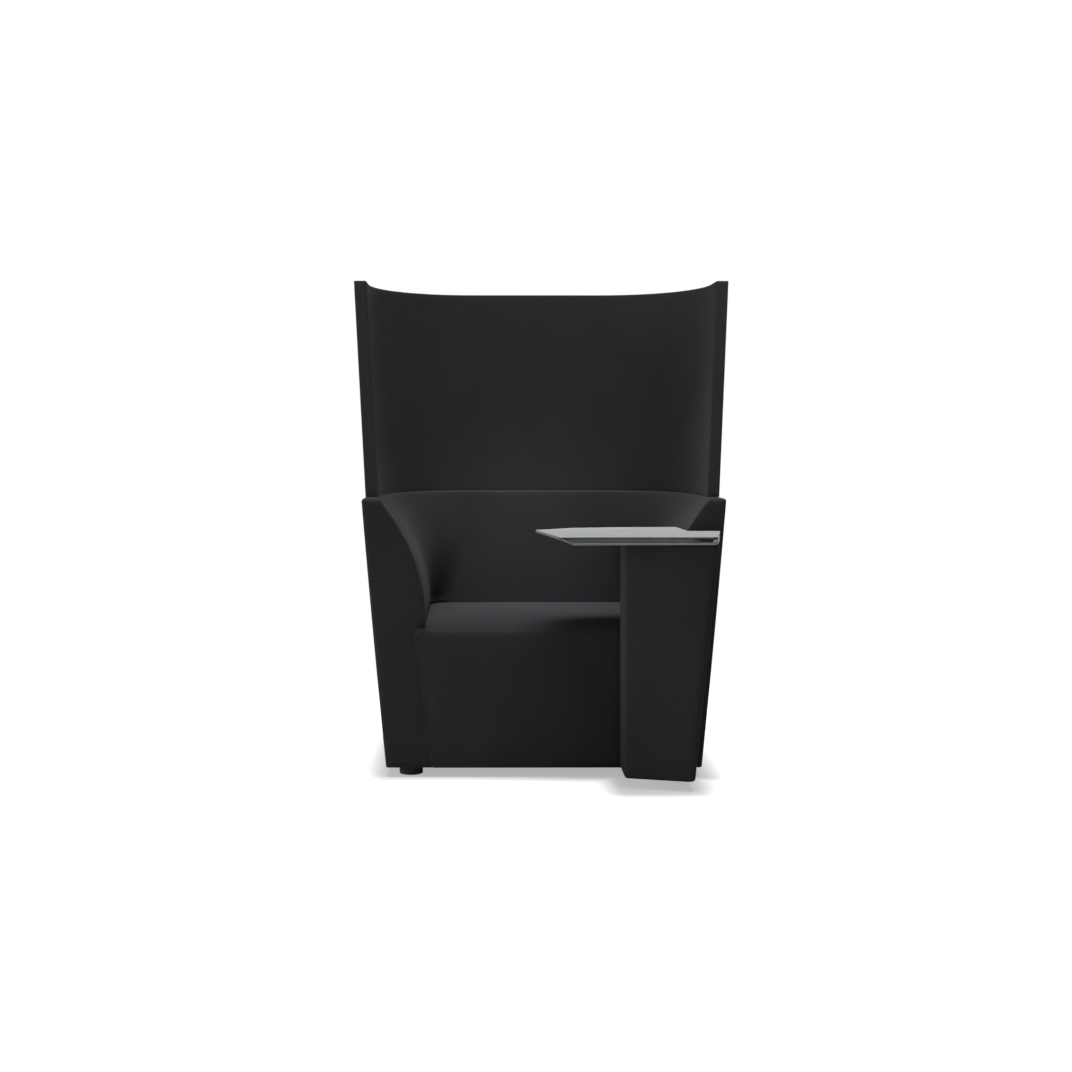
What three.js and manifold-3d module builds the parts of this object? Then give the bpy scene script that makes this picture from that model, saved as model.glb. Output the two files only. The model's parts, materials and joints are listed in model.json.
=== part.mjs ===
// Acoustic high back lounge chair with a swivelling tablet on an upholstered pedestal.
// Millimetres, +Z up, X across the chair, +Y towards its back.
// Places are measured from the floor, from the middle of the chair and from the front face of
// its arms. The last lines set the whole chair with the middle of its box over the origin.
import * as THREE from "three";
import { mergeVertices } from "three/addons/utils/BufferGeometryUtils.js";
import Module from "manifold-3d";

const wasm = await Module();
wasm.setup();

// Clearances and cutting
const seatGap = 0.3; // between pieces that are glued, screwed or pushed together
const slideGap = 0.6; // round a piece that passes through a cover
const overrun = 5; // how far a cutting shape runs past what it cuts

// Upholstered tub: arms and back in one, outer faces leaning outwards towards the rim
const tub = {
  floorGap: 26, // open height under the tub
  rimHeight: 764,
  floorHalf: 434, // half width of the outer faces at the bottom
  rimHalf: 503,
  floorBack: 578, // outer face of the back at the bottom
  rimBack: 654,
  floorCornerWidth: 200, // elliptic corners between the side and the back, seen from above
  floorCornerDepth: 380,
  rimCornerWidth: 270,
  rimCornerDepth: 432,
  frontCorner: 9, // rounding of the upright front edges
  rimEdge: 8, // rounding along the rim
  hemEdge: 3,
  skin: 14, // foam and fabric together
};

// Inside of the tub above the seat: square at the seat, a wide U at the rim
const scoop = {
  seatHalf: 327,
  seatBack: 567,
  armTopWidth: 48, // width of the rim on the arms and on the back
  backTopWidth: 50,
  start: 438, // height at which the inner faces start to lean outwards
  flareShare: 2.1, // power of the curve of the arms' inner profile
  seatCornerWidth: 46,
  seatCornerDepth: 60,
  rimCornerWidth: 232,
  rimCornerDepth: 392,
  mouthEdge: 5, // rounding between the inner faces and the arms' front faces
};

// Seat: one upholstered block with an apron down to the bottom of the tub
const seat = {
  height: 419, // top at the side edges
  crown: 6, // rise of the middle of the top
  frontCrownShare: 0.25, // share of the crown that is left at the front and back edges
  shoulderHalf: 355, // widest place, just under the rounded shoulders
  hemHalf: 306,
  shoulder: 30, // radius of the rounded shoulders
  frontEdge: 20, // radius of the edge along the front
  backTuck: 8, // how far the seat runs under the back
  padBottom: 331,
  apron: 30,
};

// Tall screen on the rim, one bent panel with wings, leaning back and outwards
const screen = {
  seam: 1.5, // open seam over the rim
  top: 1380.5,
  thickness: 36,
  reveal: 5, // how far the rim stands out past the screen
  baseFront: 110, // front ends of the wings, behind the arms' front faces
  topFront: 200,
  topHalf: 538, // half width over the outer faces
  topBack: 754,
  topCornerWidth: 336,
  topCornerDepth: 436,
  edge: 4, // rounding of the top edges
  endEdge: 5, // rounding of the wings' upright ends
  skin: 12,
};

// Steel bars that join the screen to the tub
const bar = {
  width: 30,
  thickness: 5,
  down: 130, // length below the rim
  up: 140,
  backInset: 65, // from the back panel's side edge to the middle of each bar in the back
};

// Plywood frame inside the tub
const frame = {
  baseSheet: 18,
  baseLift: 1.2, // from the hem to the underside of the base
  windowHalf: 235,
  windowFront: 130,
  windowBack: 410,
  windowCorner: 40,
  boardSheet: 15,
  sideBoardHalf: 262,
  deckHalf: 340,
  deckBack: 558,
  deckCorner: 110, // rounding of the deck's rear corners
  deckSlot: 26, // width of the breathing slots in the deck
  deckSlotLength: 330,
  deckSlots: 5,
  formerSheet: 18,
  rearFormer: 192, // front face of the second former in each arm
  formerClearance: 1.5,
  backSheet: 12,
  backInset: 18, // from the flat of the tub's back to the panel's side edges
  coverDrop: 0.2, // how far the cloth under the base hangs below the hem
};

// Round feet on threaded studs
const foot = {
  radius: 29.5,
  edge: 2,
  studRadius: 4,
  studDepth: 12, // how deep the stud goes into the foot
  studRise: 30, // how far it stands above the foot
  nutRadius: 9,
  nutHeight: 7,
  frontPlace: [367, 62],
  rearPlace: [298, 458],
};

// Upholstered pedestal in front of the right arm, tapering downwards
const pedestal = {
  left: 208.5,
  floorRight: 392,
  topRight: 455,
  height: 650,
  leftDepth: 143, // from the arm's front face to the front face, at the left face
  slopeShare: 0.293, // how much deeper it gets towards the right, per width
  armGap: 0.6,
  leftCorner: 10,
  rightCorner: 24,
  backCorner: 4,
  hemEdge: 8,
  topEdge: 5,
  skin: 12,
  sheet: 18, // plywood boards inside
};

// Steel inside the pedestal
const post = {
  side: 40,
  wall: 3,
  place: [330, -90],
  belowTop: 60, // from the pedestal's top to the top of the post
};
const head = { thickness: 8, width: 42 };
const bracket = {
  place: 380, // middle of the tongue, from the middle of the chair
  thickness: 6,
  height: 44,
  flange: 60,
  lowHeight: 150,
  belowTop: 100, // from the pedestal's top board to the middle of the upper bracket
};

// Swivel between pedestal and tablet
const swivel = {
  place: [415, -106],
  shaftRadius: 10,
  bushWall: 3.5,
  bushLength: 24,
  housingWall: 4,
  housingLength: 84,
  runningGap: 0.1,
  washerRadius: 32,
  washer: 2.4,
  plateRadius: 38,
  plate: 3,
  collarRadius: 16,
  collar: 8,
};

// Tablet: top and shelf joined along three sides, open at the front as a slot
const tablet = {
  rise: 27, // from the pedestal's top to the tablet's top face
  topSheet: 6,
  topKnife: 1.2, // what is left of the top's front edge under its bevel
  bevel: 24,
  shelfSheet: 6,
  wall: 12,
  leaf: 6, // thickness of the wall that leans along the left
  tip: [-23, 22],
  frontLeft: [30, -281],
  frontRight: [438, -275],
  backRight: 480,
  armClear: 10, // from the arm's inner face to the corner at the back
  notchStep: 12, // from that corner to the corner in front of the arm, across
  notchDepth: -24,
  backInnerDepth: 156,
  backMiddle: [221, 148],
  backLeft: [83, 114],
  corner: 6,
  outerCorner: 12,
  shelfInset: 12, // how far the shelf stays back at the arm
  tuck: 30, // from the top's left edge in to the shelf's
  reveal: 2, // what the top stands out past the leaning wall
};

// Colours and finishes
const colours = {
  fabric: 0x292b2d,
  felt: 0x2a2c2e,
  laminate: 0x9d9fa0,
  plywood: 0xb98f5f,
  steel: 0x8d9196,
  plastic: 0x1a2028,
  nylon: 0xd8d6cc,
  cloth: 0x101010,
};

const finish = (colour, roughness, metalness) =>
  new THREE.MeshStandardMaterial({ color: colour, roughness, metalness });

// Steps of the round stretches
const cornerSteps = 10;
const edgeSteps = 4;
const turnSteps = 24;
const profileSteps = 9;

const lerp = THREE.MathUtils.lerp;
const point = (x, y) => new THREE.Vector2(x, y);

// Solids: closed triangle meshes that can be joined and cut

function toSolid(geometry) {
  const bare = geometry.clone();
  bare.deleteAttribute("normal");
  bare.deleteAttribute("uv");
  const merged = mergeVertices(bare);
  return new wasm.Manifold(new wasm.Mesh({
    numProp: 3,
    vertProperties: new Float32Array(merged.attributes.position.array),
    triVerts: new Uint32Array(merged.index.array),
  }));
}

function toGeometry(solid) {
  const mesh = solid.getMesh();
  const geometry = new THREE.BufferGeometry();
  geometry.setAttribute("position", new THREE.BufferAttribute(mesh.vertProperties, 3));
  geometry.setIndex(new THREE.BufferAttribute(mesh.triVerts, 1));
  geometry.computeVertexNormals();
  return geometry;
}

// A box between two corners
function block(x, y, z) {
  const box = new THREE.BoxGeometry(x[1] - x[0], y[1] - y[0], z[1] - z[0]);
  box.translate((x[0] + x[1]) / 2, (y[0] + y[1]) / 2, (z[0] + z[1]) / 2);
  return box;
}

// An upright turned piece: its profile is a list of [radius, height], on a place [x, y]
function turned(profile, place) {
  const points = profile.map(([radius, height]) => point(radius, height));
  const lathe = new THREE.LatheGeometry(points, turnSteps);
  lathe.rotateX(Math.PI / 2);
  lathe.translate(place[0], place[1], 0);
  return lathe;
}

const disc = (radius, low, high, place) =>
  turned([[0, low], [radius, low], [radius, high], [0, high]], place);

const ring = (inner, outer, low, high, place) =>
  turned([[inner, low], [outer, low], [outer, high], [inner, high], [inner, low]], place);

// An outline in X and Y pulled up between two heights
function slab(outline, low, high, holes = []) {
  const shape = new THREE.Shape(outline);
  shape.holes = holes.map((hole) => new THREE.Path(hole));
  const geometry = new THREE.ExtrudeGeometry(shape, { depth: high - low, bevelEnabled: false });
  geometry.translate(0, 0, low);
  return geometry;
}

// An outline in X and Z pulled back between two depths
function plate(outline, front, back) {
  const shape = new THREE.Shape(outline);
  const geometry = new THREE.ExtrudeGeometry(shape, { depth: back - front, bevelEnabled: false });
  geometry.rotateX(Math.PI / 2);
  geometry.translate(0, back, 0);
  return geometry;
}

// A closed skin through rings of equally many points, each ring running anticlockwise
// when it is looked at against the direction in which the rings follow each other
function loft(rings, flatten) {
  const count = rings[0].length;
  const positions = rings.flat().flatMap((p) => [p.x, p.y, p.z]);
  const index = [];
  for (let level = 0; level + 1 < rings.length; level += 1) {
    for (let i = 0; i < count; i += 1) {
      const a = level * count + i;
      const b = level * count + ((i + 1) % count);
      index.push(a, b, b + count, a, b + count, a + count);
    }
  }
  const last = (rings.length - 1) * count;
  for (const [a, b, c] of THREE.ShapeUtils.triangulateShape(rings[0].map(flatten), [])) {
    index.push(a, c, b);
  }
  for (const [a, b, c] of THREE.ShapeUtils.triangulateShape(rings.at(-1).map(flatten), [])) {
    index.push(last + a, last + b, last + c);
  }
  const geometry = new THREE.BufferGeometry();
  geometry.setAttribute("position", new THREE.Float32BufferAttribute(positions, 3));
  geometry.setIndex(index);
  return geometry;
}

const fromAbove = (p) => point(p.x, p.y);
const fromFront = (p) => point(p.x, p.z);

// Outlines through levels [height, inset] become one upright solid
function upright(levels, outlineAt) {
  const rings = levels.map(([height, inset]) =>
    outlineAt(height, inset).map((p) => new THREE.Vector3(p.x, p.y, height)));
  return loft(rings, fromAbove);
}

// Levels of a rounded top or bottom edge: a quarter round between a height and its end
function roundedEnd(height, radius, direction, inset = 0) {
  const levels = [];
  for (let i = 0; i <= edgeSteps; i += 1) {
    const angle = (i / edgeSteps) * Math.PI / 2;
    const rise = radius * Math.sin(angle) - radius;
    levels.push([height + direction * rise, inset + radius * (1 - Math.cos(angle))]);
  }
  return levels;
}

// Evenly spaced heights between two levels
function between(low, high, steps, inset = 0) {
  const levels = [];
  for (let i = 1; i < steps; i += 1) levels.push([lerp(low, high, i / steps), inset]);
  return levels;
}

const mirrored = (points) => points.map((p) => point(-p.x, p.y)).reverse();

// Right half of an outline seen from above: along the front, round the front corner, along
// the side and through the elliptic corner to the back. The left half mirrors it.
function halfOutline({ front, half, back, cornerWidth, cornerDepth, frontCorner }) {
  const points = [];
  for (let i = 0; i <= edgeSteps; i += 1) {
    const angle = (i / edgeSteps) * Math.PI / 2;
    points.push(point(
      half - frontCorner + frontCorner * Math.sin(angle),
      front + frontCorner - frontCorner * Math.cos(angle),
    ));
  }
  for (let i = 0; i <= cornerSteps; i += 1) {
    const angle = (i / cornerSteps) * Math.PI / 2;
    points.push(point(
      half - cornerWidth + cornerWidth * Math.cos(angle),
      back - cornerDepth + cornerDepth * Math.sin(angle),
    ));
  }
  return points;
}

// A polygon with rounded corners: each corner is [x, y, radius], anticlockwise
function roundedOutline(corners) {
  return corners.flatMap(([x, y, radius], i) => {
    const here = point(x, y);
    const before = corners[(i + corners.length - 1) % corners.length];
    const after = corners[(i + 1) % corners.length];
    const toBefore = point(before[0], before[1]).sub(here).normalize();
    const toAfter = point(after[0], after[1]).sub(here).normalize();
    const opening = Math.acos(toBefore.dot(toAfter));
    const reach = radius / Math.tan(opening / 2);
    const start = here.clone().addScaledVector(toBefore, reach);
    const end = here.clone().addScaledVector(toAfter, reach);
    const curve = new THREE.QuadraticBezierCurve(start, here, end);
    return curve.getPoints(edgeSteps);
  });
}

// Tub and its inside

const tubShare = (height) => (height - tub.floorGap) / (tub.rimHeight - tub.floorGap);
const outerHalf = (height) => lerp(tub.floorHalf, tub.rimHalf, tubShare(height));
const outerBack = (height) => lerp(tub.floorBack, tub.rimBack, tubShare(height));

// Half width of the panel in the tub's back, which stays within the flat between the corners
const backPanelHalf = (height) => outerHalf(height) - frame.backInset
  - lerp(tub.floorCornerWidth, tub.rimCornerWidth, tubShare(height));

function tubOutline(height, inset, front = inset) {
  const share = tubShare(height);
  const half = halfOutline({
    front,
    half: outerHalf(height) - inset,
    back: outerBack(height) - inset,
    cornerWidth: lerp(tub.floorCornerWidth, tub.rimCornerWidth, share) - inset,
    cornerDepth: lerp(tub.floorCornerDepth, tub.rimCornerDepth, share) - inset,
    frontCorner: Math.max(tub.frontCorner - inset, seatGap),
  });
  return [...half, ...mirrored(half)];
}

// Share of the way that the inner faces have leant out: none at the seat, all at the rim
function flare(height) {
  const rise = Math.max(height - scoop.start, 0) / (tub.rimHeight - scoop.start);
  return rise ** scoop.flareShare;
}

const scoopHalf = (height) =>
  lerp(scoop.seatHalf, tub.rimHalf - scoop.armTopWidth, flare(height));
const scoopBack = (height) => {
  const rise = Math.max(height - scoop.start, 0) / (tub.rimHeight - scoop.start);
  return lerp(scoop.seatBack, tub.rimBack - scoop.backTopWidth, rise);
};

function scoopOutline(height, grow) {
  const rise = Math.max(height - scoop.start, 0) / (tub.rimHeight - scoop.start);
  const width = scoopHalf(height) + grow;
  const half = halfOutline({
    front: -overrun - scoop.mouthEdge,
    half: width,
    back: scoopBack(height) + grow,
    cornerWidth: lerp(scoop.seatCornerWidth, scoop.rimCornerWidth, rise) + grow,
    cornerDepth: lerp(scoop.seatCornerDepth, scoop.rimCornerDepth, rise) + grow,
    frontCorner: 0,
  }).slice(edgeSteps);
  // the mouth widens in a quarter round where the inner face meets the front face
  const mouth = [];
  for (let i = 0; i <= edgeSteps; i += 1) {
    const angle = (i / edgeSteps) * Math.PI / 2;
    mouth.push(point(
      width + scoop.mouthEdge * (1 - Math.sin(angle)),
      scoop.mouthEdge * (1 - Math.cos(angle)),
    ));
  }
  const lip = point(width + scoop.mouthEdge, half[0].y);
  const right = [lip, ...mouth, ...half.slice(1)];
  return [...right, ...mirrored(right)];
}

// The free space over the seat, from the seat up past the rim
function scoopSolid(low, grow) {
  const levels = [[low, grow], [scoop.start, grow]];
  levels.push(...between(scoop.start, tub.rimHeight, profileSteps, grow));
  levels.push([tub.rimHeight - tub.rimEdge / 2, grow], [tub.rimHeight + overrun, grow + tub.rimEdge]);
  return toSolid(upright(levels, scoopOutline));
}

// Sides of the seat block, and the same line as the seam on the arms' front faces
function seatSide(height) {
  const share = (height - tub.floorGap) / (seat.height - seat.shoulder - tub.floorGap);
  return lerp(seat.hemHalf, seat.shoulderHalf, share);
}

// The seat block seen from the front, with rounded shoulders and a crowned top
function seatOutline({ drop, inset, low, crown }) {
  const shoulderLow = seat.height - seat.shoulder;
  const right = [point(seatSide(low) - inset, low + inset)];
  for (let i = 0; i <= edgeSteps; i += 1) {
    const angle = (i / edgeSteps) * Math.PI / 2;
    right.push(point(
      seat.shoulderHalf - inset - seat.shoulder * (1 - Math.cos(angle)),
      shoulderLow + (seat.shoulder - drop) * Math.sin(angle),
    ));
  }
  const flat = right.at(-1).x;
  const top = seat.height - drop;
  for (let i = 1; i <= edgeSteps; i += 1) {
    const share = i / edgeSteps;
    right.push(point(flat * (1 - share), top + crown * (1 - (1 - share) ** 2)));
  }
  return [...right, ...mirrored(right).slice(1)];
}

// The tub's inside within its skin, running out past the arms' front faces
function insideSolid(inset) {
  const low = tub.floorGap - overrun;
  const high = tub.rimHeight - tub.skin;
  const levels = [[low, inset], ...between(low, high, edgeSteps, inset), [high, inset]];
  return toSolid(upright(levels, (height, skin) => tubOutline(height, skin, -2 * overrun)));
}

// The space that the seat block takes in the tub
function seatPocket() {
  const outline = seatOutline({
    drop: -slideGap,
    inset: -slideGap,
    low: tub.floorGap - overrun,
    crown: seat.crown,
  });
  const depth = scoop.seatBack + seat.backTuck + slideGap;
  return toSolid(plate(outline, -overrun, depth)).intersect(insideSolid(tub.skin));
}

function tubCover() {
  const levels = [
    ...roundedEnd(tub.floorGap, tub.hemEdge, -1).reverse(),
    ...between(tub.floorGap + tub.hemEdge, tub.rimHeight - tub.rimEdge, profileSteps),
    ...roundedEnd(tub.rimHeight, tub.rimEdge, 1),
  ];
  const body = toSolid(upright(levels, tubOutline));
  const inside = [
    [tub.floorGap - overrun, tub.skin],
    ...between(tub.floorGap - overrun, tub.rimHeight - tub.skin, edgeSteps, tub.skin),
    [tub.rimHeight - tub.skin, tub.skin],
  ];
  const hollow = toSolid(upright(inside, tubOutline)).subtract(scoopSolid(seat.height, tub.skin));
  return body
    .subtract(hollow)
    .subtract(scoopSolid(seat.height, 0))
    .subtract(seatPocket())
    .subtract(barSolids(slideGap))
    .subtract(bracketSolids(slideGap));
}

// Seat block: lofted from back to front, hollow under its pad behind the apron
function seatCushion() {
  const back = scoop.seatBack + seat.backTuck;
  const ringAt = (depth, drop, inset) => {
    const middle = Math.sin(Math.PI * depth / back);
    const crown = seat.crown * lerp(seat.frontCrownShare, 1, middle);
    return seatOutline({ drop, inset, low: tub.floorGap, crown })
      .map((p) => new THREE.Vector3(p.x, depth, p.y));
  };
  const rings = [];
  for (let i = 0; i <= edgeSteps; i += 1) {
    const angle = (i / edgeSteps) * Math.PI / 2;
    const depth = seat.frontEdge * (1 - Math.cos(angle));
    rings.push(ringAt(depth, seat.frontEdge * (1 - Math.sin(angle)), 0));
  }
  for (let i = 1; i <= profileSteps; i += 1) {
    rings.push(ringAt(lerp(seat.frontEdge, back, i / profileSteps), 0, 0));
  }
  const width = seat.shoulderHalf + overrun;
  const under = block([-width, width], [seat.apron, back + overrun], [0, seat.padBottom]);
  return toSolid(loft(rings.reverse(), fromFront))
    .subtract(toSolid(under))
    .intersect(insideSolid(tub.skin + seatGap));
}

// Screen

const screenBase = tub.rimHeight + screen.seam;
const screenShare = (height) => (height - screenBase) / (screen.top - screenBase);
const screenHalf = (height) =>
  lerp(tub.rimHalf - screen.reveal, screen.topHalf, screenShare(height));
const screenBack = (height) =>
  lerp(tub.rimBack - screen.reveal, screen.topBack, screenShare(height));
const screenFront = (height) => lerp(screen.baseFront, screen.topFront, screenShare(height));
const screenBaseWidth = tub.rimCornerWidth - screen.reveal;
const screenBaseDepth = tub.rimCornerDepth - screen.reveal;

// The screen's band seen from above, all its faces moved in by the inset
function screenOutline(height, inset) {
  const share = screenShare(height);
  const side = (offset, end) => halfOutline({
    front: screenFront(height) + inset,
    half: screenHalf(height) - offset,
    back: screenBack(height) - offset,
    cornerWidth: lerp(screenBaseWidth, screen.topCornerWidth, share) - offset,
    cornerDepth: lerp(screenBaseDepth, screen.topCornerDepth, share) - offset,
    frontCorner: end,
  });
  const outer = side(inset, Math.max(screen.endEdge - inset, seatGap));
  const inner = side(screen.thickness - inset, 0).slice(edgeSteps);
  return [...outer, ...mirrored(outer), ...mirrored(inner).reverse(), ...[...inner].reverse()];
}

function screenBand(inset, low, high, topLevels) {
  const levels = [[low, inset], ...between(low, high, edgeSteps, inset), ...topLevels];
  return toSolid(upright(levels, screenOutline));
}

function screenCover() {
  const shoulder = screen.top - screen.edge;
  const body = screenBand(0, screenBase, shoulder, roundedEnd(screen.top, screen.edge, 1));
  const ceiling = screen.top - screen.skin;
  const hollow = screenBand(screen.skin, screenBase - overrun, ceiling, [[ceiling, screen.skin]]);
  return body.subtract(hollow);
}

function screenCore() {
  const inset = screen.skin + seatGap;
  const ceiling = screen.top - inset;
  return screenBand(inset, screenBase, ceiling, [[ceiling, inset]]).subtract(barSolids(seatGap));
}

// Bars between screen and tub: each follows the middle of the wall below and above the rim

function barRings(place, along, across, grow) {
  const low = tub.rimHeight - bar.down - grow;
  const high = screenBase + bar.up + grow;
  return [low, screenBase, high].map((height) => {
    const middle = place(height);
    const halfWidth = bar.width / 2 + grow;
    const halfThickness = bar.thickness / 2 + grow;
    return [[-1, -1], [1, -1], [1, 1], [-1, 1]].map(([u, v]) => new THREE.Vector3(
      middle.x + u * (along.x * halfWidth + across.x * halfThickness),
      middle.y + v * (along.y * halfWidth + across.y * halfThickness),
      height,
    ));
  });
}

const wallSlope = (tub.rimHalf - tub.floorHalf) / (tub.rimHeight - tub.floorGap);
const backSlope = (tub.rimBack - tub.floorBack) / (tub.rimHeight - tub.floorGap);

function sideBarPlace(side) {
  return (height) => {
    const above = screenHalf(Math.max(height, screenBase)) - screen.thickness / 2;
    const below = Math.min(height - screenBase, 0) * wallSlope;
    return point(side * (above + below), frame.rearFormer - seatGap - bar.width / 2);
  };
}

function backBarPlace(side) {
  return (height) => {
    const above = screenBack(Math.max(height, screenBase)) - screen.thickness / 2;
    const below = Math.min(height - screenBase, 0) * backSlope;
    return point(side * (backPanelHalf(tub.rimHeight) - bar.backInset), above + below);
  };
}

const acrossX = [point(0, 1), point(1, 0)];
const acrossY = [point(1, 0), point(0, 1)];
const barPlaces = {
  screen_bar_left: [sideBarPlace(-1), acrossX],
  screen_bar_right: [sideBarPlace(1), acrossX],
  screen_bar_back_left: [backBarPlace(-1), acrossY],
  screen_bar_back_right: [backBarPlace(1), acrossY],
};

function barSolid(name, grow) {
  const [place, [along, across]] = barPlaces[name];
  return toSolid(loft(barRings(place, along, across, grow), fromAbove));
}

const barSolids = (grow) =>
  Object.keys(barPlaces).map((name) => barSolid(name, grow)).reduce((all, one) => all.add(one));

// Plywood frame

const baseLow = tub.floorGap + frame.baseLift;
const baseHigh = baseLow + frame.baseSheet;
const boardLow = baseHigh + seatGap;
const deckHigh = seat.padBottom - seatGap;
const deckLow = deckHigh - frame.boardSheet;
const boardHigh = deckLow - seatGap;
const clothLow = tub.floorGap - frame.coverDrop;
const footHeight = clothLow - seatGap;
const footPlaces = {
  front_left: [-foot.frontPlace[0], foot.frontPlace[1]],
  front_right: foot.frontPlace,
  rear_left: [-foot.rearPlace[0], foot.rearPlace[1]],
  rear_right: foot.rearPlace,
};

function roundedBox(x, y, radius) {
  return roundedOutline([[x[0], y[0], radius], [x[1], y[0], radius], [x[1], y[1], radius],
    [x[0], y[1], radius]]);
}

function basePlate() {
  const inset = tub.skin + seatGap;
  const body = toSolid(upright([[baseLow, inset], [baseHigh, inset]], tubOutline));
  const width = [-frame.windowHalf, frame.windowHalf];
  const opening = roundedBox(width, [frame.windowFront, frame.windowBack], frame.windowCorner);
  const apron = block([-seatSide(baseHigh) - slideGap, seatSide(baseHigh) + slideGap],
    [-overrun, seat.apron + seatGap], [0, baseHigh + overrun]);
  let base = body
    .subtract(toSolid(slab(opening, 0, baseHigh + overrun)))
    .subtract(toSolid(apron));
  for (const place of Object.values(footPlaces)) {
    const hole = disc(foot.studRadius + seatGap, 0, baseHigh + overrun, place);
    base = base.subtract(toSolid(hole));
  }
  return base;
}

function baseCloth() {
  const inset = tub.skin + slideGap;
  const levels = [[clothLow, inset], [baseLow - seatGap, inset]];
  const body = toSolid(upright(levels, (height, skin) => tubOutline(height, skin)));
  const apron = block([-seatSide(baseHigh) - slideGap, seatSide(baseHigh) + slideGap],
    [-overrun, seat.apron + seatGap], [0, baseHigh]);
  let cloth = body.subtract(toSolid(apron));
  for (const place of Object.values(footPlaces)) {
    cloth = cloth.subtract(toSolid(disc(foot.studRadius + slideGap, 0, baseHigh, place)));
  }
  return cloth;
}

function seatFrontBoard() {
  const front = seat.apron + seatGap;
  const low = seatSide(boardLow) - slideGap;
  const high = seatSide(boardHigh) - slideGap;
  const outline = [point(-low, boardLow), point(low, boardLow), point(high, boardHigh),
    point(-high, boardHigh)];
  return plate(outline, front, front + frame.boardSheet);
}

// Front face of the board under the seat's back, which stands against the back panel
const rearBoardFront = outerBack(boardLow) - tub.skin - frame.backSheet - frame.boardSheet
  - 2 * seatGap;

function seatSideBoard(side) {
  const outer = side * frame.sideBoardHalf;
  const inner = outer - side * frame.boardSheet;
  const front = seat.apron + frame.boardSheet + 2 * seatGap;
  return block([Math.min(inner, outer), Math.max(inner, outer)],
    [front, rearBoardFront - seatGap], [boardLow, boardHigh]);
}

function seatRearBoard() {
  const half = frame.sideBoardHalf;
  return block([-half, half], [rearBoardFront, rearBoardFront + frame.boardSheet],
    [boardLow, boardHigh]);
}

// Deck under the seat pad with rounded breathing slots
function seatDeck() {
  const depth = [seat.apron + seatGap, frame.deckBack];
  const middle = (depth[0] + depth[1]) / 2;
  const pitch = 2 * frame.deckHalf / (frame.deckSlots + 1);
  const slots = [];
  for (let i = 1; i <= frame.deckSlots; i += 1) {
    const x = -frame.deckHalf + i * pitch;
    slots.push(roundedBox([x - frame.deckSlot / 2, x + frame.deckSlot / 2],
      [middle - frame.deckSlotLength / 2, middle + frame.deckSlotLength / 2],
      frame.deckSlot / 2));
  }
  const outline = roundedOutline([
    [-frame.deckHalf, depth[0], tub.frontCorner],
    [frame.deckHalf, depth[0], tub.frontCorner],
    [frame.deckHalf, depth[1], frame.deckCorner],
    [-frame.deckHalf, depth[1], frame.deckCorner],
  ]);
  return slab(outline, deckLow, deckHigh, slots);
}

// Upright plywood in the arms, cut to the profile between the outer and the inner face
function armFormer(side, front) {
  const outer = (height) => outerHalf(height) - tub.skin - frame.formerClearance;
  const inner = (height) => scoopHalf(height) + tub.skin + frame.formerClearance;
  const high = tub.rimHeight - tub.skin - frame.formerClearance;
  const step = seat.height + tub.skin;
  const waist = seat.shoulderHalf + frame.formerClearance;
  const outline = [point(waist, boardLow), point(outer(boardLow), boardLow),
    point(outer(high), high)];
  for (let i = 0; i <= profileSteps; i += 1) {
    const height = lerp(high, step, i / profileSteps);
    outline.push(point(inner(height), height));
  }
  outline.push(point(waist, step));
  const placed = outline.map((p) => point(side * p.x, p.y));
  return plate(side > 0 ? placed : placed.reverse(), front, front + frame.formerSheet);
}

const frontFormer = tub.skin + seatGap;

function backPanel() {
  const rings = [boardLow, tub.rimHeight - tub.skin - frame.formerClearance].map((height) => {
    const back = outerBack(height) - tub.skin - seatGap;
    const front = back - frame.backSheet;
    return [[-1, front], [1, front], [1, back], [-1, back]].map(([side, y]) =>
      new THREE.Vector3(side * backPanelHalf(height), y, height));
  });
  return toSolid(loft(rings, fromAbove)).subtract(barSolids(seatGap));
}

// Feet

function footPiece(place) {
  const rise = footHeight - foot.studDepth;
  const hole = foot.studRadius + seatGap;
  return turned([[0, 0], [foot.radius - foot.edge, 0], [foot.radius, foot.edge],
    [foot.radius, footHeight], [hole, footHeight], [hole, rise], [0, rise]], place);
}

function footStud(place) {
  const low = footHeight - foot.studDepth + seatGap;
  return disc(foot.studRadius, low, footHeight + foot.studRise, place);
}

function footNut(place) {
  return ring(foot.studRadius + seatGap, foot.nutRadius, baseHigh + seatGap,
    baseHigh + seatGap + foot.nutHeight, place);
}

// Pedestal

function pedestalRight(height) {
  const share = (height - tub.floorGap) / (pedestal.height - tub.floorGap);
  return lerp(pedestal.floorRight, pedestal.topRight, share);
}

const pedestalFront = (x) => -pedestal.leftDepth - pedestal.slopeShare * (x - pedestal.left);

function pedestalOutline(height, inset) {
  const left = pedestal.left + inset;
  const right = pedestalRight(height) - inset;
  const back = -pedestal.armGap - inset;
  const shrink = (radius) => Math.max(radius - inset, seatGap);
  return roundedOutline([
    [left, pedestalFront(left) + inset, shrink(pedestal.leftCorner)],
    [right, pedestalFront(right) + inset, shrink(pedestal.rightCorner)],
    [right, back, shrink(pedestal.backCorner)],
    [left, back, shrink(pedestal.backCorner)],
  ]);
}

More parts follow.
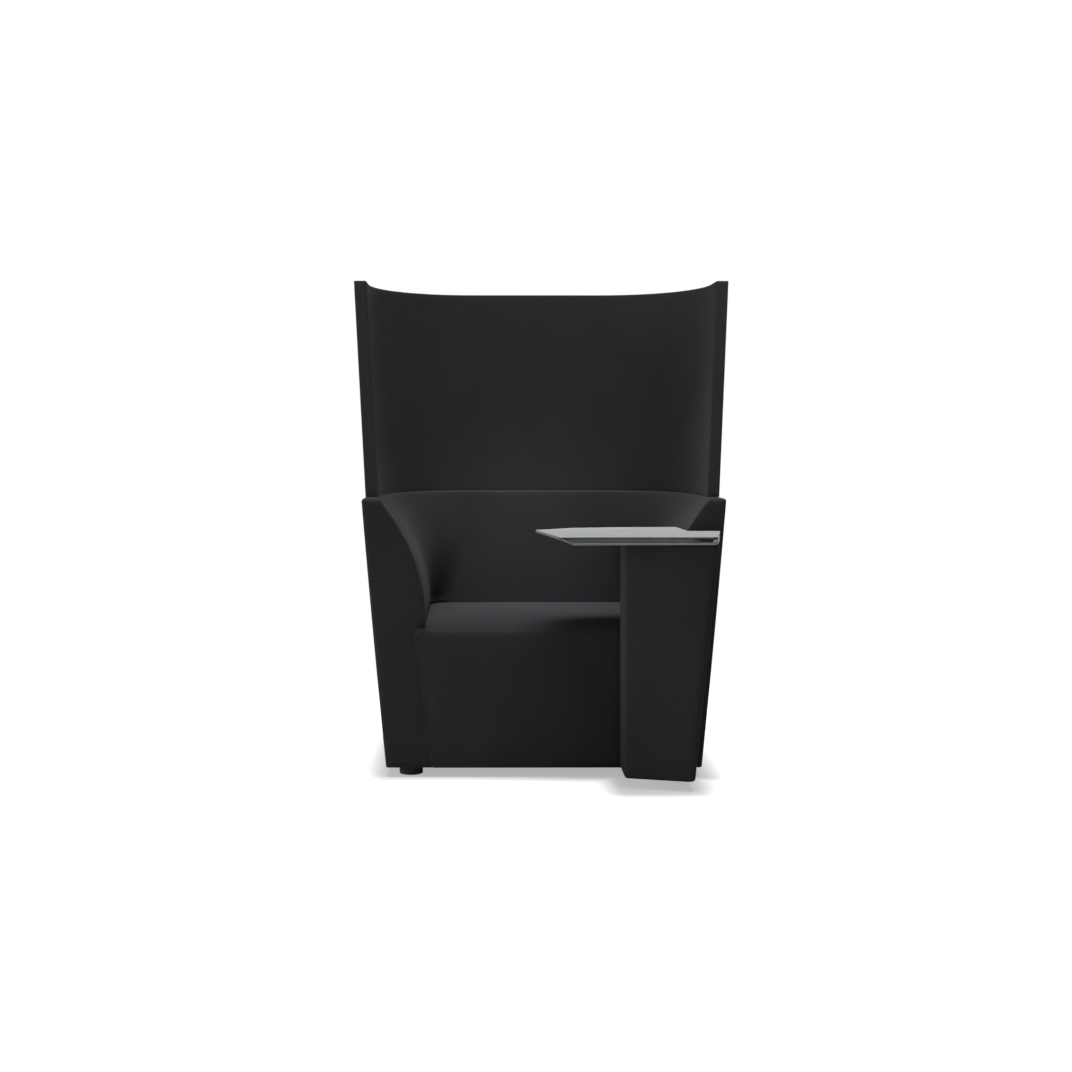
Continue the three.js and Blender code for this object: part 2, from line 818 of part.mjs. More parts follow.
function pedestalCover() {
  const levels = [
    ...roundedEnd(tub.floorGap, pedestal.hemEdge, -1).reverse(),
    ...roundedEnd(pedestal.height, pedestal.topEdge, 1),
  ];
  const ceiling = pedestal.height - pedestal.skin;
  const inside = [[tub.floorGap - overrun, pedestal.skin], [ceiling, pedestal.skin]];
  const bore = swivelHousingRadius + slideGap;
  return toSolid(upright(levels, pedestalOutline))
    .subtract(toSolid(upright(inside, pedestalOutline)))
    .subtract(toSolid(disc(bore, ceiling - overrun, pedestal.height + overrun, swivel.place)))
    .subtract(bracketSolids(slideGap));
}

function pedestalBoard(low) {
  const inset = pedestal.skin + seatGap;
  return toSolid(upright([[low, inset], [low + pedestal.sheet, inset]], pedestalOutline));
}

const pedestalBaseHigh = baseLow + pedestal.sheet;
const topBoardLow = pedestal.height - pedestal.skin - seatGap - pedestal.sheet;
const postHigh = pedestal.height - post.belowTop;
const headLow = postHigh + seatGap;

function pedestalTopBoard() {
  const bore = disc(swivelHousingRadius + seatGap, 0, pedestal.height, swivel.place);
  return pedestalBoard(topBoardLow).subtract(toSolid(bore));
}

// Board behind the pedestal's cover, which the brackets are screwed to
function pedestalBackBoard() {
  const back = -pedestal.armGap - pedestal.skin - seatGap;
  const left = pedestal.left + pedestal.skin + pedestal.leftCorner;
  const low = pedestalBaseHigh + seatGap;
  const high = topBoardLow - seatGap;
  const right = (height) => pedestalRight(height) - pedestal.skin - frame.formerClearance;
  const outline = [point(left, low), point(right(low), low), point(right(high), high),
    point(left, high)];
  const board = plate(outline, back - pedestal.sheet, back);
  return toSolid(board).subtract(bracketSolids(slideGap));
}

function squareTube(place, side, wall, low, high) {
  const box = (half) => [point(place[0] - half, place[1] - half),
    point(place[0] + half, place[1] - half), point(place[0] + half, place[1] + half),
    point(place[0] - half, place[1] + half)];
  return slab(box(side / 2), low, high, [box(side / 2 - wall)]);
}

// Plate on top of the post that reaches out to the swivel
function pedestalHead() {
  const [fromX, fromY] = post.place;
  const [toX, toY] = swivel.place;
  const half = head.width / 2;
  const corner = half / 2;
  const outline = roundedOutline([[fromX - half, fromY - half, corner],
    [toX + half, toY - half, corner], [toX + half, toY + half, corner],
    [fromX - half, fromY + half, corner]]);
  const body = toSolid(slab(outline, headLow, headLow + head.thickness));
  const bore = disc(swivelHousingRadius + seatGap, 0, pedestal.height, swivel.place);
  return body.subtract(toSolid(bore));
}

// Brackets: a flange on the pedestal's back board and a tongue into the arm's front former
function bracketSolid(height, grow) {
  const low = height - bracket.height / 2 - grow;
  const high = height + bracket.height / 2 + grow;
  const half = bracket.thickness / 2 + grow;
  const seatFace = -pedestal.armGap - pedestal.skin - pedestal.sheet - 2 * seatGap;
  const end = frontFormer + frame.formerSheet - seatGap + grow;
  const x = [bracket.place - half, bracket.place + half];
  const tongue = block(x, [seatFace - bracket.thickness, end], [low, high]);
  const flangeEnd = bracket.place + half;
  const flange = block([flangeEnd - bracket.flange - grow, flangeEnd],
    [seatFace - bracket.thickness - grow, seatFace - seatGap + grow], [low, high]);
  return toSolid(tongue).add(toSolid(flange));
}

const bracketHeights = {
  pedestal_bracket_lower: bracket.lowHeight,
  pedestal_bracket_upper: topBoardLow - bracket.belowTop,
};

const bracketSolids = (grow) => Object.values(bracketHeights)
  .map((height) => bracketSolid(height, grow)).reduce((all, one) => all.add(one));

// Swivel

const bushRadius = swivel.shaftRadius + swivel.runningGap;
const bushOuter = bushRadius + swivel.bushWall;
const swivelHousingBore = bushOuter + seatGap;
const swivelHousingRadius = swivelHousingBore + swivel.housingWall;
const washerLow = pedestal.height + seatGap;
const washerHigh = washerLow + swivel.washer;
const plateLow = washerHigh + seatGap;
const plateHigh = plateLow + swivel.plate;
const housingHigh = pedestal.height;
const housingLow = housingHigh - swivel.housingLength;
const collarHigh = housingLow - seatGap;

function swivelHousing() {
  return ring(swivelHousingBore, swivelHousingRadius, housingLow, housingHigh, swivel.place);
}

const swivelBush = (low) => ring(bushRadius, bushOuter, low, low + swivel.bushLength, swivel.place);

// Plain shaft from the foot of the collar up to the tablet's plate
function swivelShaft() {
  const low = collarHigh - swivel.collar;
  return disc(swivel.shaftRadius, low, plateLow - seatGap, swivel.place);
}

const thrustWasher = () => ring(bushRadius, swivel.washerRadius, washerLow, washerHigh, swivel.place);

const swivelPlate = () => disc(swivel.plateRadius, plateLow, plateHigh, swivel.place);

function shaftCollar() {
  const bore = swivel.shaftRadius + seatGap;
  return ring(bore, swivel.collarRadius, collarHigh - swivel.collar, collarHigh, swivel.place);
}

// Tablet

const shelfLow = plateHigh + seatGap;
const shelfHigh = shelfLow + tablet.shelfSheet;
const topHigh = pedestal.height + tablet.rise;
const topLow = topHigh - tablet.topSheet;

// The tablet ends beside the arm's inner face, or beside the rim where that is lower
const tabletInner = scoopHalf(Math.min(topLow, tub.rimHeight)) - tablet.armClear;
const tabletCorners = [
  [...tablet.tip, tablet.corner],
  [...tablet.frontLeft, tablet.corner],
  [...tablet.frontRight, tablet.outerCorner],
  [tablet.backRight, tablet.notchDepth, tablet.outerCorner],
  [tabletInner + tablet.notchStep, tablet.notchDepth, tablet.corner],
  [tabletInner, tablet.backInnerDepth, tablet.outerCorner],
  [...tablet.backMiddle, tablet.corner],
  [...tablet.backLeft, tablet.outerCorner],
];

// Top: its front edge is bevelled from below to a thin lip
function tabletTop() {
  const body = toSolid(slab(roundedOutline(tabletCorners), topLow, topHigh));
  const [fromX, fromY] = tablet.frontLeft;
  const [toX, toY] = tablet.frontRight;
  const slope = (toY - fromY) / (toX - fromX);
  const reach = tablet.bevel + overrun;
  const drop = tablet.topSheet - tablet.topKnife;
  const lift = drop * reach / tablet.bevel;
  const low = topLow - (lift - drop);
  const profile = [point(-overrun, low), point(tablet.bevel, low), point(-overrun, low + lift)];
  const wedge = plate(profile, 0, 2 * (toX - fromX));
  wedge.rotateZ(Math.PI / 2 + Math.atan(slope));
  wedge.translate(toX + (toX - fromX) / 2, toY + slope * (toX - fromX) / 2, 0);
  return body.subtract(toSolid(wedge));
}

// Corners of the shelf, with its left edge tucked in under the top's
function shelfCorners(tuck) {
  const inset = tablet.shelfInset;
  const [tip, frontLeft, frontRight, backRight, notch, backInner, backMiddle, backLeft] =
    tabletCorners;
  return [
    [tip[0] + tuck, tip[1] - inset / 2, tip[2]],
    [frontLeft[0] + tuck, frontLeft[1], frontLeft[2]],
    frontRight,
    backRight,
    [notch[0] - inset, notch[1], notch[2]],
    [backInner[0] - inset, backInner[1] - inset, backInner[2]],
    [backMiddle[0], backMiddle[1] - inset, backMiddle[2]],
    [backLeft[0] + inset / 2, backLeft[1] - inset, backLeft[2]],
  ];
}

const tabletShelf = () => slab(roundedOutline(shelfCorners(tablet.tuck)), shelfLow, shelfHigh);

// Inside of the wall, open past the front
function wallInside(tuck) {
  const [tip, frontLeft, frontRight, backRight, notch, backInner, backMiddle, backLeft] =
    shelfCorners(tuck);
  const w = tablet.wall;
  const leaf = tablet.leaf;
  return [
    [tip[0] + 4 * leaf, tip[1] - 2 * leaf, tip[2]],
    [frontLeft[0] + leaf, frontLeft[1] - overrun, frontLeft[2]],
    [frontRight[0] - w, frontRight[1] - overrun, frontLeft[2]],
    [backRight[0] - 2 * w, backRight[1] - w, frontLeft[2]],
    [notch[0] - w, notch[1] - w, notch[2]],
    [backInner[0] - w, backInner[1] - w, notch[2]],
    [backMiddle[0], backMiddle[1] - w, backMiddle[2]],
    [backLeft[0] + w, backLeft[1] - w, notch[2]],
  ];
}

// Wall between top and shelf along the left, the back and the right, open at the front.
// Its left side leans out from the shelf's edge to the top's.
function tabletWall() {
  const low = shelfHigh + seatGap;
  const high = topLow - seatGap;
  const lean = (tablet.tuck - tablet.reveal) / (high - low);
  const leaning = (corners, past) => {
    const levels = [
      [low - past, tablet.tuck + past * lean],
      [high + past, tablet.reveal - past * lean],
    ];
    return toSolid(upright(levels, (height, tuck) => roundedOutline(corners(tuck))));
  };
  return leaning(shelfCorners, 0).subtract(leaning(wallInside, seatGap));
}

// Assembly

const fabric = () => finish(colours.fabric, 0.9, 0);
const felt = () => finish(colours.felt, 0.92, 0);
const plywood = () => finish(colours.plywood, 0.75, 0);
const steel = () => finish(colours.steel, 0.45, 1);
const nylon = () => finish(colours.nylon, 0.5, 0);
const laminate = () => finish(colours.laminate, 0.4, 0);

const chair = new THREE.Group();

function add(name, shape, material) {
  const geometry = shape.isBufferGeometry ? shape : toGeometry(shape);
  const mesh = new THREE.Mesh(geometry, material);
  mesh.name = name;
  chair.add(mesh);
}

add("tub_cover", tubCover(), fabric());
add("seat_cushion", seatCushion(), fabric());
add("screen_cover", screenCover(), felt());
add("screen_core", screenCore(), plywood());
for (const name of Object.keys(barPlaces)) add(name, barSolid(name, 0), steel());

add("base_plate", basePlate(), plywood());
add("base_cloth", baseCloth(), finish(colours.cloth, 1, 0));
add("seat_front_board", seatFrontBoard(), plywood());
add("seat_rear_board", seatRearBoard(), plywood());
add("seat_deck", seatDeck(), plywood());
add("back_panel", backPanel(), plywood());
for (const [side, word] of [[-1, "left"], [1, "right"]]) {
  add(`seat_side_board_${word}`, seatSideBoard(side), plywood());
  const front = toSolid(armFormer(side, frontFormer)).subtract(bracketSolids(seatGap));
  add(`arm_former_front_${word}`, front, plywood());
  add(`arm_former_rear_${word}`, armFormer(side, frame.rearFormer), plywood());
}
for (const [word, place] of Object.entries(footPlaces)) {
  add(`foot_${word}`, footPiece(place), finish(colours.plastic, 0.5, 0));
  add(`foot_stud_${word}`, footStud(place), steel());
  add(`foot_nut_${word}`, footNut(place), steel());
}

add("pedestal_cover", pedestalCover(), fabric());
add("pedestal_base_board", pedestalBoard(baseLow), plywood());
add("pedestal_top_board", pedestalTopBoard(), plywood());
add("pedestal_back_board", pedestalBackBoard(), plywood());
add("pedestal_post", squareTube(post.place, post.side, post.wall, pedestalBaseHigh + seatGap,
  postHigh), steel());
add("pedestal_head", pedestalHead(), steel());
for (const [name, height] of Object.entries(bracketHeights)) {
  add(name, bracketSolid(height, 0), steel());
}

add("swivel_housing", swivelHousing(), steel());
add("swivel_bush_lower", swivelBush(housingLow), nylon());
add("swivel_bush_upper", swivelBush(housingHigh - swivel.bushLength), nylon());
add("swivel_washer", thrustWasher(), nylon());
add("swivel_shaft", swivelShaft(), steel());
add("swivel_collar", shaftCollar(), steel());
add("swivel_plate", swivelPlate(), steel());
add("tablet_shelf", tabletShelf(), laminate());
add("tablet_wall", tabletWall(), laminate());
add("tablet_top", tabletTop(), laminate());

// The middle of the chair's box lies over the origin
chair.position.y = -(screen.topBack + tablet.frontLeft[1]) / 2;
const part = new THREE.Group();
part.add(chair);

export default part;
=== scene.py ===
"""Acoustic high back lounge chair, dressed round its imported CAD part.

The file is laid out as an add-on and run as a script. Metres, +Z up. The front faces of the arms
stand in one upright plane, and every depth is measured back from that plane.
"""

import json
import math
from dataclasses import dataclass

import bmesh
import bpy
from mathutils import Matrix, Vector


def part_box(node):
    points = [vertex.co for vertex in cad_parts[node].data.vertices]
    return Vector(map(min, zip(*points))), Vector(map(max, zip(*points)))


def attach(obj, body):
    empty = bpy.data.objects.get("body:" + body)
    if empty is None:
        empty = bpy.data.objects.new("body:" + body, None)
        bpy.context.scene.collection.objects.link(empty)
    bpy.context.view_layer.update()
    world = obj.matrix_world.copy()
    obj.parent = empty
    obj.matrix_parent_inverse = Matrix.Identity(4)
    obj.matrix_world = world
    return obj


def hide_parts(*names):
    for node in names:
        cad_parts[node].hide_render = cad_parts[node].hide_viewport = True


bl_info = {
    "name": "Acoustic lounge chair",
    "version": (1, 0, 0),
    "blender": (4, 5, 0),
    "location": "3D View > Sidebar > Lounge chair",
    "description": "Upholstery, tablet, feet and stage of a high back lounge chair",
    "category": "Object",
}

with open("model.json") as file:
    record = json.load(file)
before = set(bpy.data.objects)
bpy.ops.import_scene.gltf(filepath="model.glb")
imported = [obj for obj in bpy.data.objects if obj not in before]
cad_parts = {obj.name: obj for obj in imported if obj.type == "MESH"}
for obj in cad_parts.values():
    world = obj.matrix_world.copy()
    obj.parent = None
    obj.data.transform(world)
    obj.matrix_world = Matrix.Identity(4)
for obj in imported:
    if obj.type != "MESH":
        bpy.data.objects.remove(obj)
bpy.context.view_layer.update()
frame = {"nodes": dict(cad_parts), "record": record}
TUB_LOW, TUB_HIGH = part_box("tub_cover")
SCREEN_LOW, SCREEN_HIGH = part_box("screen_cover")
PEDESTAL_LOW, PEDESTAL_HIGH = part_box("pedestal_cover")
TOP_LOW, TOP_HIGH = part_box("tablet_top")
SHELF_LOW, SHELF_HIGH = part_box("tablet_shelf")
FRONT = TUB_LOW.y

FEET = ("foot_front_left", "foot_front_right", "foot_rear_left", "foot_rear_right")


# Properties: sizes, colours and the stage


def length(name, description, default):
    return bpy.props.FloatProperty(
        name=name, description=description, default=default, unit="LENGTH", precision=4
    )


def plan_place(name, description, default):
    """A place seen from above: across from the chair's middle, and the depth."""
    return bpy.props.FloatVectorProperty(
        name=name, description=description, default=default, size=2, unit="LENGTH", precision=4
    )


def factor(name, description, default, most=1.0):
    return bpy.props.FloatProperty(
        name=name, description=description, default=default, min=0.0, max=most, subtype="FACTOR"
    )


def power(name, description, default):
    return bpy.props.FloatProperty(
        name=name, description=description, default=default, min=0.0, unit="POWER"
    )


def pixels(name, description, default):
    return bpy.props.FloatProperty(
        name=name, description=description, default=default, min=0.0, subtype="PIXEL"
    )


def colour(name, description, default):
    return bpy.props.FloatVectorProperty(
        name=name, description=description, default=default, size=3, subtype="COLOR", min=0, max=1
    )


class TubSizes(bpy.types.PropertyGroup):
    """Outside of the upholstered tub"""

    low: length("Hem height", "Height of the hem over the floor", TUB_LOW.z)
    high: length("Rim height", "Height of the rim over the floor", TUB_HIGH.z)
    floor_half: length("Half width at the hem", "Half width of the outer faces below", 0.434)
    rim_half: length("Half width at the rim", "Half width of the outer faces above", TUB_HIGH.x)
    floor_back: length("Depth at the hem", "Depth of the back's outer face below", 0.578)
    rim_back: length("Depth at the rim", "Depth of the back's outer face above", TUB_HIGH.y - FRONT)
    floor_corner_width: length("Corner width at the hem", "Width of the rear corners below", 0.2)
    floor_corner_depth: length("Corner depth at the hem", "Depth of the rear corners below", 0.38)
    rim_corner_width: length("Corner width at the rim", "Width of the rear corners above", 0.27)
    rim_corner_depth: length("Corner depth at the rim", "Depth of the rear corners above", 0.432)
    front_edge: length("Front edge", "Rounding of the arms' upright outer edges", 0.009)
    rim_edge: length("Rim edge", "Rounding along the rim", 0.008)
    hem_edge: length("Hem edge", "Rounding along the hem", 0.003)
    hem_turn: length("Hem turn", "Width of the cloth turned under at the hem", 0.012)
    cover: length("Cover thickness", "Cloth and foam of the outer layer", 0.004)
    belly: length("Front belly", "How far the padded front faces stand proud", 0.0012)
    side_belly: length("Side belly", "How far the outer faces stand proud half way up", 0.0018)
    seam: length("Seam", "Radius of the sewn bead along the rear corners", 0.0016)
    welt: length("Welt", "Radius of the fine bead between the arms and the apron", 0.0011)


class ScoopSizes(bpy.types.PropertyGroup):
    """Inside of the tub above the seat"""

    seat_half: length("Half width at the seat", "Half of the clear width over the seat", 0.327)
    seat_back: length("Depth at the seat", "Depth of the inner back face at the seat", 0.567)
    arm_top: length("Arm top width", "Width of the rim on the arms", 0.048)
    back_top: length("Back top width", "Width of the rim on the back", 0.05)
    start: length("Start of the flare", "Height at which the inner faces start to lean", 0.438)
    flare: factor("Flare power", "Power of the curve of the arms' inner profile", 2.1, 4.0)
    back_flare: factor("Back flare power", "Power of the curve of the back's profile", 2.1, 4.0)
    seat_corner_width: length("Corner width at the seat", "Width of the inner corners", 0.055)
    seat_corner_depth: length("Corner depth at the seat", "Depth of the inner corners", 0.075)
    rim_corner_width: length("Corner width at the rim", "Width of the inner corners above", 0.232)
    rim_corner_depth: length("Corner depth at the rim", "Depth of the inner corners above", 0.392)
    mouth: length("Mouth edge", "Rounding between inner and front faces over the seat", 0.005)
    seam_edge: length("Seam edge", "Rounding of the cover along the seat block", 0.001)
    seam_rise: length("Seam rise", "Height over the seat where the edge starts to round", 0.008)


class SeatSizes(bpy.types.PropertyGroup):
    """Seat block with its apron"""

    height: length("Seat height", "Height of the top at its side edges", 0.419)
    crown: length("Crown", "Rise of the middle of the top", 0.004)
    crown_share: factor("Edge share", "Share of the crown left at the front and back edges", 0.25)
    shoulder_half: length("Half width", "Half width just under the shoulders", 0.355)
    hem_half: length("Half width at the hem", "Half width at the bottom of the apron", 0.306)
    shoulder: length("Shoulder", "Radius of the rounded shoulders", 0.03)
    front_edge: length("Front edge", "Radius of the edge along the front", 0.02)
    corner_edge: length("Corner edge", "Radius of that edge at the shoulders", 0.0015)
    edge_taper: length("Edge taper", "How far in from the shoulders that edge thins out", 0.042)
    edge_flat: factor("Flat edge", "How much the edge is drawn flat between its ends", 0.93)
    back_tuck: length("Back tuck", "How far the seat runs under the back", 0.008)
    wall_clear: length("Wall clearance", "From the tub's outer faces in to the seat", 0.022)
    pad_bottom: length("Pad underside", "Height of the pad's underside", 0.331)
    apron: length("Apron", "Thickness of the apron", 0.03)
    belly: length("Apron belly", "How far the apron's foam stands proud", 0.0010)
    swell: length("Swell", "How far the simulated cloth may move", 0.004)


class ScreenSizes(bpy.types.PropertyGroup):
    """Tall bent screen on the rim"""

    low: length("Foot height", "Height of the screen's lower edge", TUB_HIGH.z + 0.0004)
    high: length("Top height", "Height of the screen's upper edge", SCREEN_HIGH.z)
    thickness: length("Thickness", "Thickness of the whole panel", 0.036)
    base_front: length("Wing depth below", "Depth of the wings' front ends below", 0.11)
    top_front: length("Wing depth above", "Depth of the wings' front ends above", 0.2)
    base_half: length("Half width below", "Half width over the outer faces below", 0.498)
    top_half: length("Half width above", "Half width over the outer faces above", SCREEN_HIGH.x)
    base_back: length("Depth below", "Depth of the outer back face below", 0.649)
    top_back: length("Depth above", "Depth of the outer back face above", SCREEN_HIGH.y - FRONT)
    base_corner_width: length("Corner width below", "Width of the corners below", 0.265)
    base_corner_depth: length("Corner depth below", "Depth of the corners below", 0.427)
    top_corner_width: length("Corner width above", "Width of the corners above", 0.336)
    top_corner_depth: length("Corner depth above", "Depth of the corners above", 0.436)
    edge: length("Top edge", "Rounding of the top edges", 0.004)
    foot_edge: length("Foot edge", "Rounding of the edges on the rim", 0.0008)
    end_edge: length("End edge", "Rounding of the wings' upright ends", 0.005)
    cover: length("Cover thickness", "Cloth and foam of the outer layer", 0.0035)
    hem_turn: length("Hem turn", "Width of the cloth turned under below", 0.01)


class PedestalSizes(bpy.types.PropertyGroup):
    """Upholstered pedestal under the tablet"""

    low: length("Hem height", "Height of the hem over the floor", PEDESTAL_LOW.z)
    high: length("Height", "Height of the pedestal's top", PEDESTAL_HIGH.z)
    left: length("Inner face", "Place of the face towards the sitter", PEDESTAL_LOW.x)
    floor_right: length("Outer face below", "Place of the outer face at the hem", 0.392)
    top_right: length("Outer face above", "Place of the outer face at the top", 0.455)
    left_depth: length("Depth", "Depth at the inner face", 0.143)
    slope: factor("Front slope", "How much deeper it gets outwards, per width", 0.293)
    arm_gap: length("Arm gap", "Gap to the arm's front face", 0.0006)
    left_corner: length("Inner corner", "Reach of the inner front corner", 0.01)
    right_corner: length("Outer corner", "Reach of the outer front corner", 0.024)
    back_corner: length("Back corner", "Reach of the two corners at the arm", 0.004)
    hem_edge: length("Hem edge", "Rounding along the hem", 0.008)
    hem_turn: length("Hem turn", "Width of the cloth turned under at the hem", 0.0128)
    top_edge: length("Top edge", "Rounding along the top", 0.005)
    cover: length("Cover thickness", "Cloth and foam of the outer layer", 0.0035)
    belly: length("Belly", "How far the padded faces stand proud", 0.0012)
    swivel_x: length("Swivel across", "Place of the swivel from the middle of the chair", 0.415)
    swivel_depth: length("Swivel depth", "Depth of the swivel", -0.106)
    bore: length("Bore", "Radius of the hole for the swivel", 0.0235)


class TabletSizes(bpy.types.PropertyGroup):
    """Tablet: a top with a bevelled front edge over a shelf"""

    tip: plan_place("Tip", "Outermost corner at the left", (-0.023, 0.022))
    front_left: plan_place("Front left", "Left end of the front edge", (0.030, -0.281))
    front_right: plan_place("Front right", "Right end of the front edge", (0.438, -0.275))
    back_middle: plan_place("Back middle", "Bend of the back edge", (0.221, 0.148))
    back_left: plan_place("Back left", "Left end of the back edge", (0.083, 0.114))
    right_end: length("Right end", "Place of the corner in front of the arm", 0.480)
    arm_reach: length("Reach at the arm", "Depth of the back edge at the arm", 0.156)
    corner: length("Corner", "Reach of the small corners", 0.006)
    outer_corner: length("Outer corner", "Reach of the large corners", 0.012)
    bevel: length("Bevel", "Width of the bevel under the top's front edge", 0.024)
    knife: length("Lip", "What is left of the top at its front edge", 0.0012)
    arm_clear: length("Arm clearance", "From the arm's inner face to the top", 0.010)
    notch_step: length("Notch step", "From the inner corner to the notch's corner", 0.012)
    notch_depth: length("Notch depth", "Depth of the edge in front of the arm", -0.024)
    inset: length("Shelf inset", "How far the shelf stays back at the arm", 0.012)
    tuck: length("Tuck", "From the top's front left corner in to the shelf's", 0.034)
    tip_tuck: length("Tip tuck", "From the top's tip in to the shelf's", 0.050)
    ease: length("Eased edge", "Rounding of the plates' edges", 0.0006)
    band: length("Side band", "Thickness of the leaning band at the left", 0.002)


class FootSizes(bpy.types.PropertyGroup):
    """Round feet"""

    radius: length("Radius", "Radius of a foot", 0.0325)
    edge: length("Edge", "Rounding of a foot's edges", 0.002)
    groove: length("Groove", "Depth of the ring round a foot", 0.0012)
    groove_height: factor("Groove height", "Height of the ring, as a share of the foot's", 0.62)
    bore: length("Stud hole", "Radius of the hole for the stud", 0.0043)


class CoverColours(bpy.types.PropertyGroup):
    """Colours of cloth, laminate and the hidden frame"""

    fabric: colour("Cloth", "Charcoal cloth on tub, seat and pedestal", (0.0195, 0.0206, 0.0226))
    fabric_light: colour("Cloth fibres", "Lighter fibres of that cloth", (0.0262, 0.0276, 0.0300))
    felt: colour("Screen cloth", "Cloth on the screen", (0.0195, 0.0206, 0.0226))
    felt_light: colour("Screen fibres", "Lighter fibres of that cloth", (0.0262, 0.0276, 0.0300))
    laminate: colour("Laminate", "Light grey tablet", (0.36, 0.37, 0.377))
    # Darker copy of the laminate for the tablet's upright faces: a painted shade
    edge: colour("Tablet edge", "Edge band of the tablet", (0.21, 0.215, 0.22))
    # About twice the plastic's own tone: the feet stand in the tub's shade, and the extra lightness
    # is painted light
    plastic: colour("Feet", "Moulded feet", (0.09, 0.10, 0.112))
    # Lighter than the cloth: a painted highlight along the welts beside the apron
    thread: colour("Thread", "Thread of the welts", (0.0306, 0.0333, 0.036))
    thread_light: colour("Thread fibres", "Lighter fibres of it", (0.0408, 0.0444, 0.048))
    plywood: colour("Plywood", "Hidden boards", (0.45, 0.28, 0.13))
    steel: colour("Steel", "Zinc plated steel", (0.42, 0.43, 0.44))
    nylon: colour("Nylon", "Moulded bearing rings", (0.62, 0.61, 0.56))
    base_cloth: colour("Base cloth", "Cloth under the base", (0.006, 0.006, 0.006))


class StageSettings(bpy.types.PropertyGroup):
    """Floor, lights and camera"""

    floor_radius: length("Floor radius", "Radius of the round floor", 14.0)
    floor: colour("Floor", "Pale floor", (0.4, 0.4, 0.4))
    glow: factor("Floor glow", "How white the camera sees the floor without light", 0.9)
    # Camera glow of the floor under the chair, lower than elsewhere: a painted shadow
    shade: factor("Floor shade", "The same under the chair", 0.42)
    # Width of that painted shadow round the footprints
    shadow_reach: length("Shadow reach", "How far the shadow shows round the chair", 0.085)
    white_from: length("White from", "Where the floor starts to turn white", 0.5)
    white_to: length("White to", "Where the floor is all white", 1.3)
    top_power: power("Top light", "Power of the large light overhead", 790)
    left_power: power("Left light", "Power of the light at the left", 147)
    front_power: power("Front light", "Power of the light in front", 72)
    back_power: power("Back light", "Power of the light behind", 79)
    tub_power: power("Tub light", "Power of the soft spot into the tub", 1130)
    arm_power: power("Arm light", "Power of the spot on the left arm's inner face", 500)
    wing_power: power("Wing light", "Power of the spot on the right arm and wing", 520)
    pedestal_power: power("Pedestal light", "Power of the spot on the pedestal's inner face", 380)
    slot_power: power("Slot light", "Power of the faint light between the tablet's boards", 0.017)
    world: factor("World", "Strength of the even light from all round", 0.01)
    eye_x: length("Camera across", "Place of the camera across", -0.176)
    eye_distance: length("Camera distance", "Distance in front of the arms' plane", 4.5)
    eye_height: length("Camera height", "Height of the camera", 0.961)
    focal_pixels: pixels("Focal length", "Focal length at the image size", 1640)
    image_pixels: pixels("Image size", "Width and height of the photograph's frame", 1072)
    centre_pixel: pixels("Optical centre", "Pixel of the optical centre across", 490)
    eye_pixel: pixels("Eye level", "Pixel of the eye level down the image", 427)
    yaw: bpy.props.FloatProperty(
        name="Yaw", description="Turn towards the pedestal", default=math.radians(0.35),
        subtype="ANGLE",
    )


GROUPS = {
    "lounge_tub": TubSizes,
    "lounge_scoop": ScoopSizes,
    "lounge_seat": SeatSizes,
    "lounge_screen": ScreenSizes,
    "lounge_pedestal": PedestalSizes,
    "lounge_tablet": TabletSizes,
    "lounge_foot": FootSizes,
    "lounge_colours": CoverColours,
    "lounge_stage": StageSettings,
}


# Steps of the meshes

SIDE_STEPS = 26
CORNER_STEPS = 34
BACK_STEPS = 18
END_STEPS = 8
EDGE_STEPS = 5
TUB_STEPS = {"apron": 22, "shoulder": 10, "over_seat": 2, "flare": 34}
SEAT_STEPS = {"across": 30, "shoulder": 9, "front": 26, "edge": 8, "top": 40, "back": 6}
PAD_STEPS = {"under": 12, "behind_apron": 8}
SCREEN_STEPS = 44
PEDESTAL_STEPS = {"side": 12, "height": 40, "top": 8}
SEAM_STEPS = {"round": 10, "rear": 60, "seat": 50}
FOOT_STEPS = {"edge": 4, "turn": 56}
FLOOR_STEPS = 96

# Points nearer than the first are merged, and no rounding or gap is under the second

MERGE = 1e-5
TINY = 2e-4

# Share of a seam bead's radius that is sunk, and of the seat's half width where its side starts

SUNK = 0.35
SIDE_FROM = 0.6

# Cloth simulation of the seat

SWELL_FRAMES = 20
SWELL_PRESSURE = 4

# The tablet's faces whose normals rise less than this are its cut edges, which take the darker edge
# colour as a painted shade

UPRIGHT = 0.7

# Edges of a plate and of a foot that turn by more than this are sharp

PLATE_SHARP = math.radians(35)
FOOT_SHARP = math.radians(40)

# How far a finish strays from its own tint and roughness

TINT_SPREAD = 0.06
GLOSS_SPREAD = 0.07

# Thread density of the cloths, per metre

FABRIC_THREADS = 700
FELT_THREADS = 820
SEAM_THREADS = 1500

# Finishes of the frame's boards, steel and bearings, by material slot

FRAME_FINISHES = {
    "plywood": dict(name="birch_plywood", roughness=0.7, grain=60, depth=0.0001),
    "steel": dict(
        name="zinc_plated_steel", roughness=0.4, grain=500, depth=0.00002, metallic=1.0
    ),
    "nylon": dict(name="white_nylon", roughness=0.5, grain=900, depth=0.00003),
    "base_cloth": dict(name="black_base_cloth", roughness=0.95, grain=1200, depth=0.0002),
}

# Camera's sensor in millimetres and its far limit in metres, and the radius of the spots

SENSOR_WIDTH = 36
FAR_LIMIT = 100
SPOT_RADIUS = 0.15


# Shared modelling helpers


def lerp(start, end, share):
    """The value at a share of the way from start to end."""
    return start + (end - start) * share


def evenly(start, end, steps):
    """steps + 1 values from start to end."""
    return [lerp(start, end, i / steps) for i in range(steps + 1)]


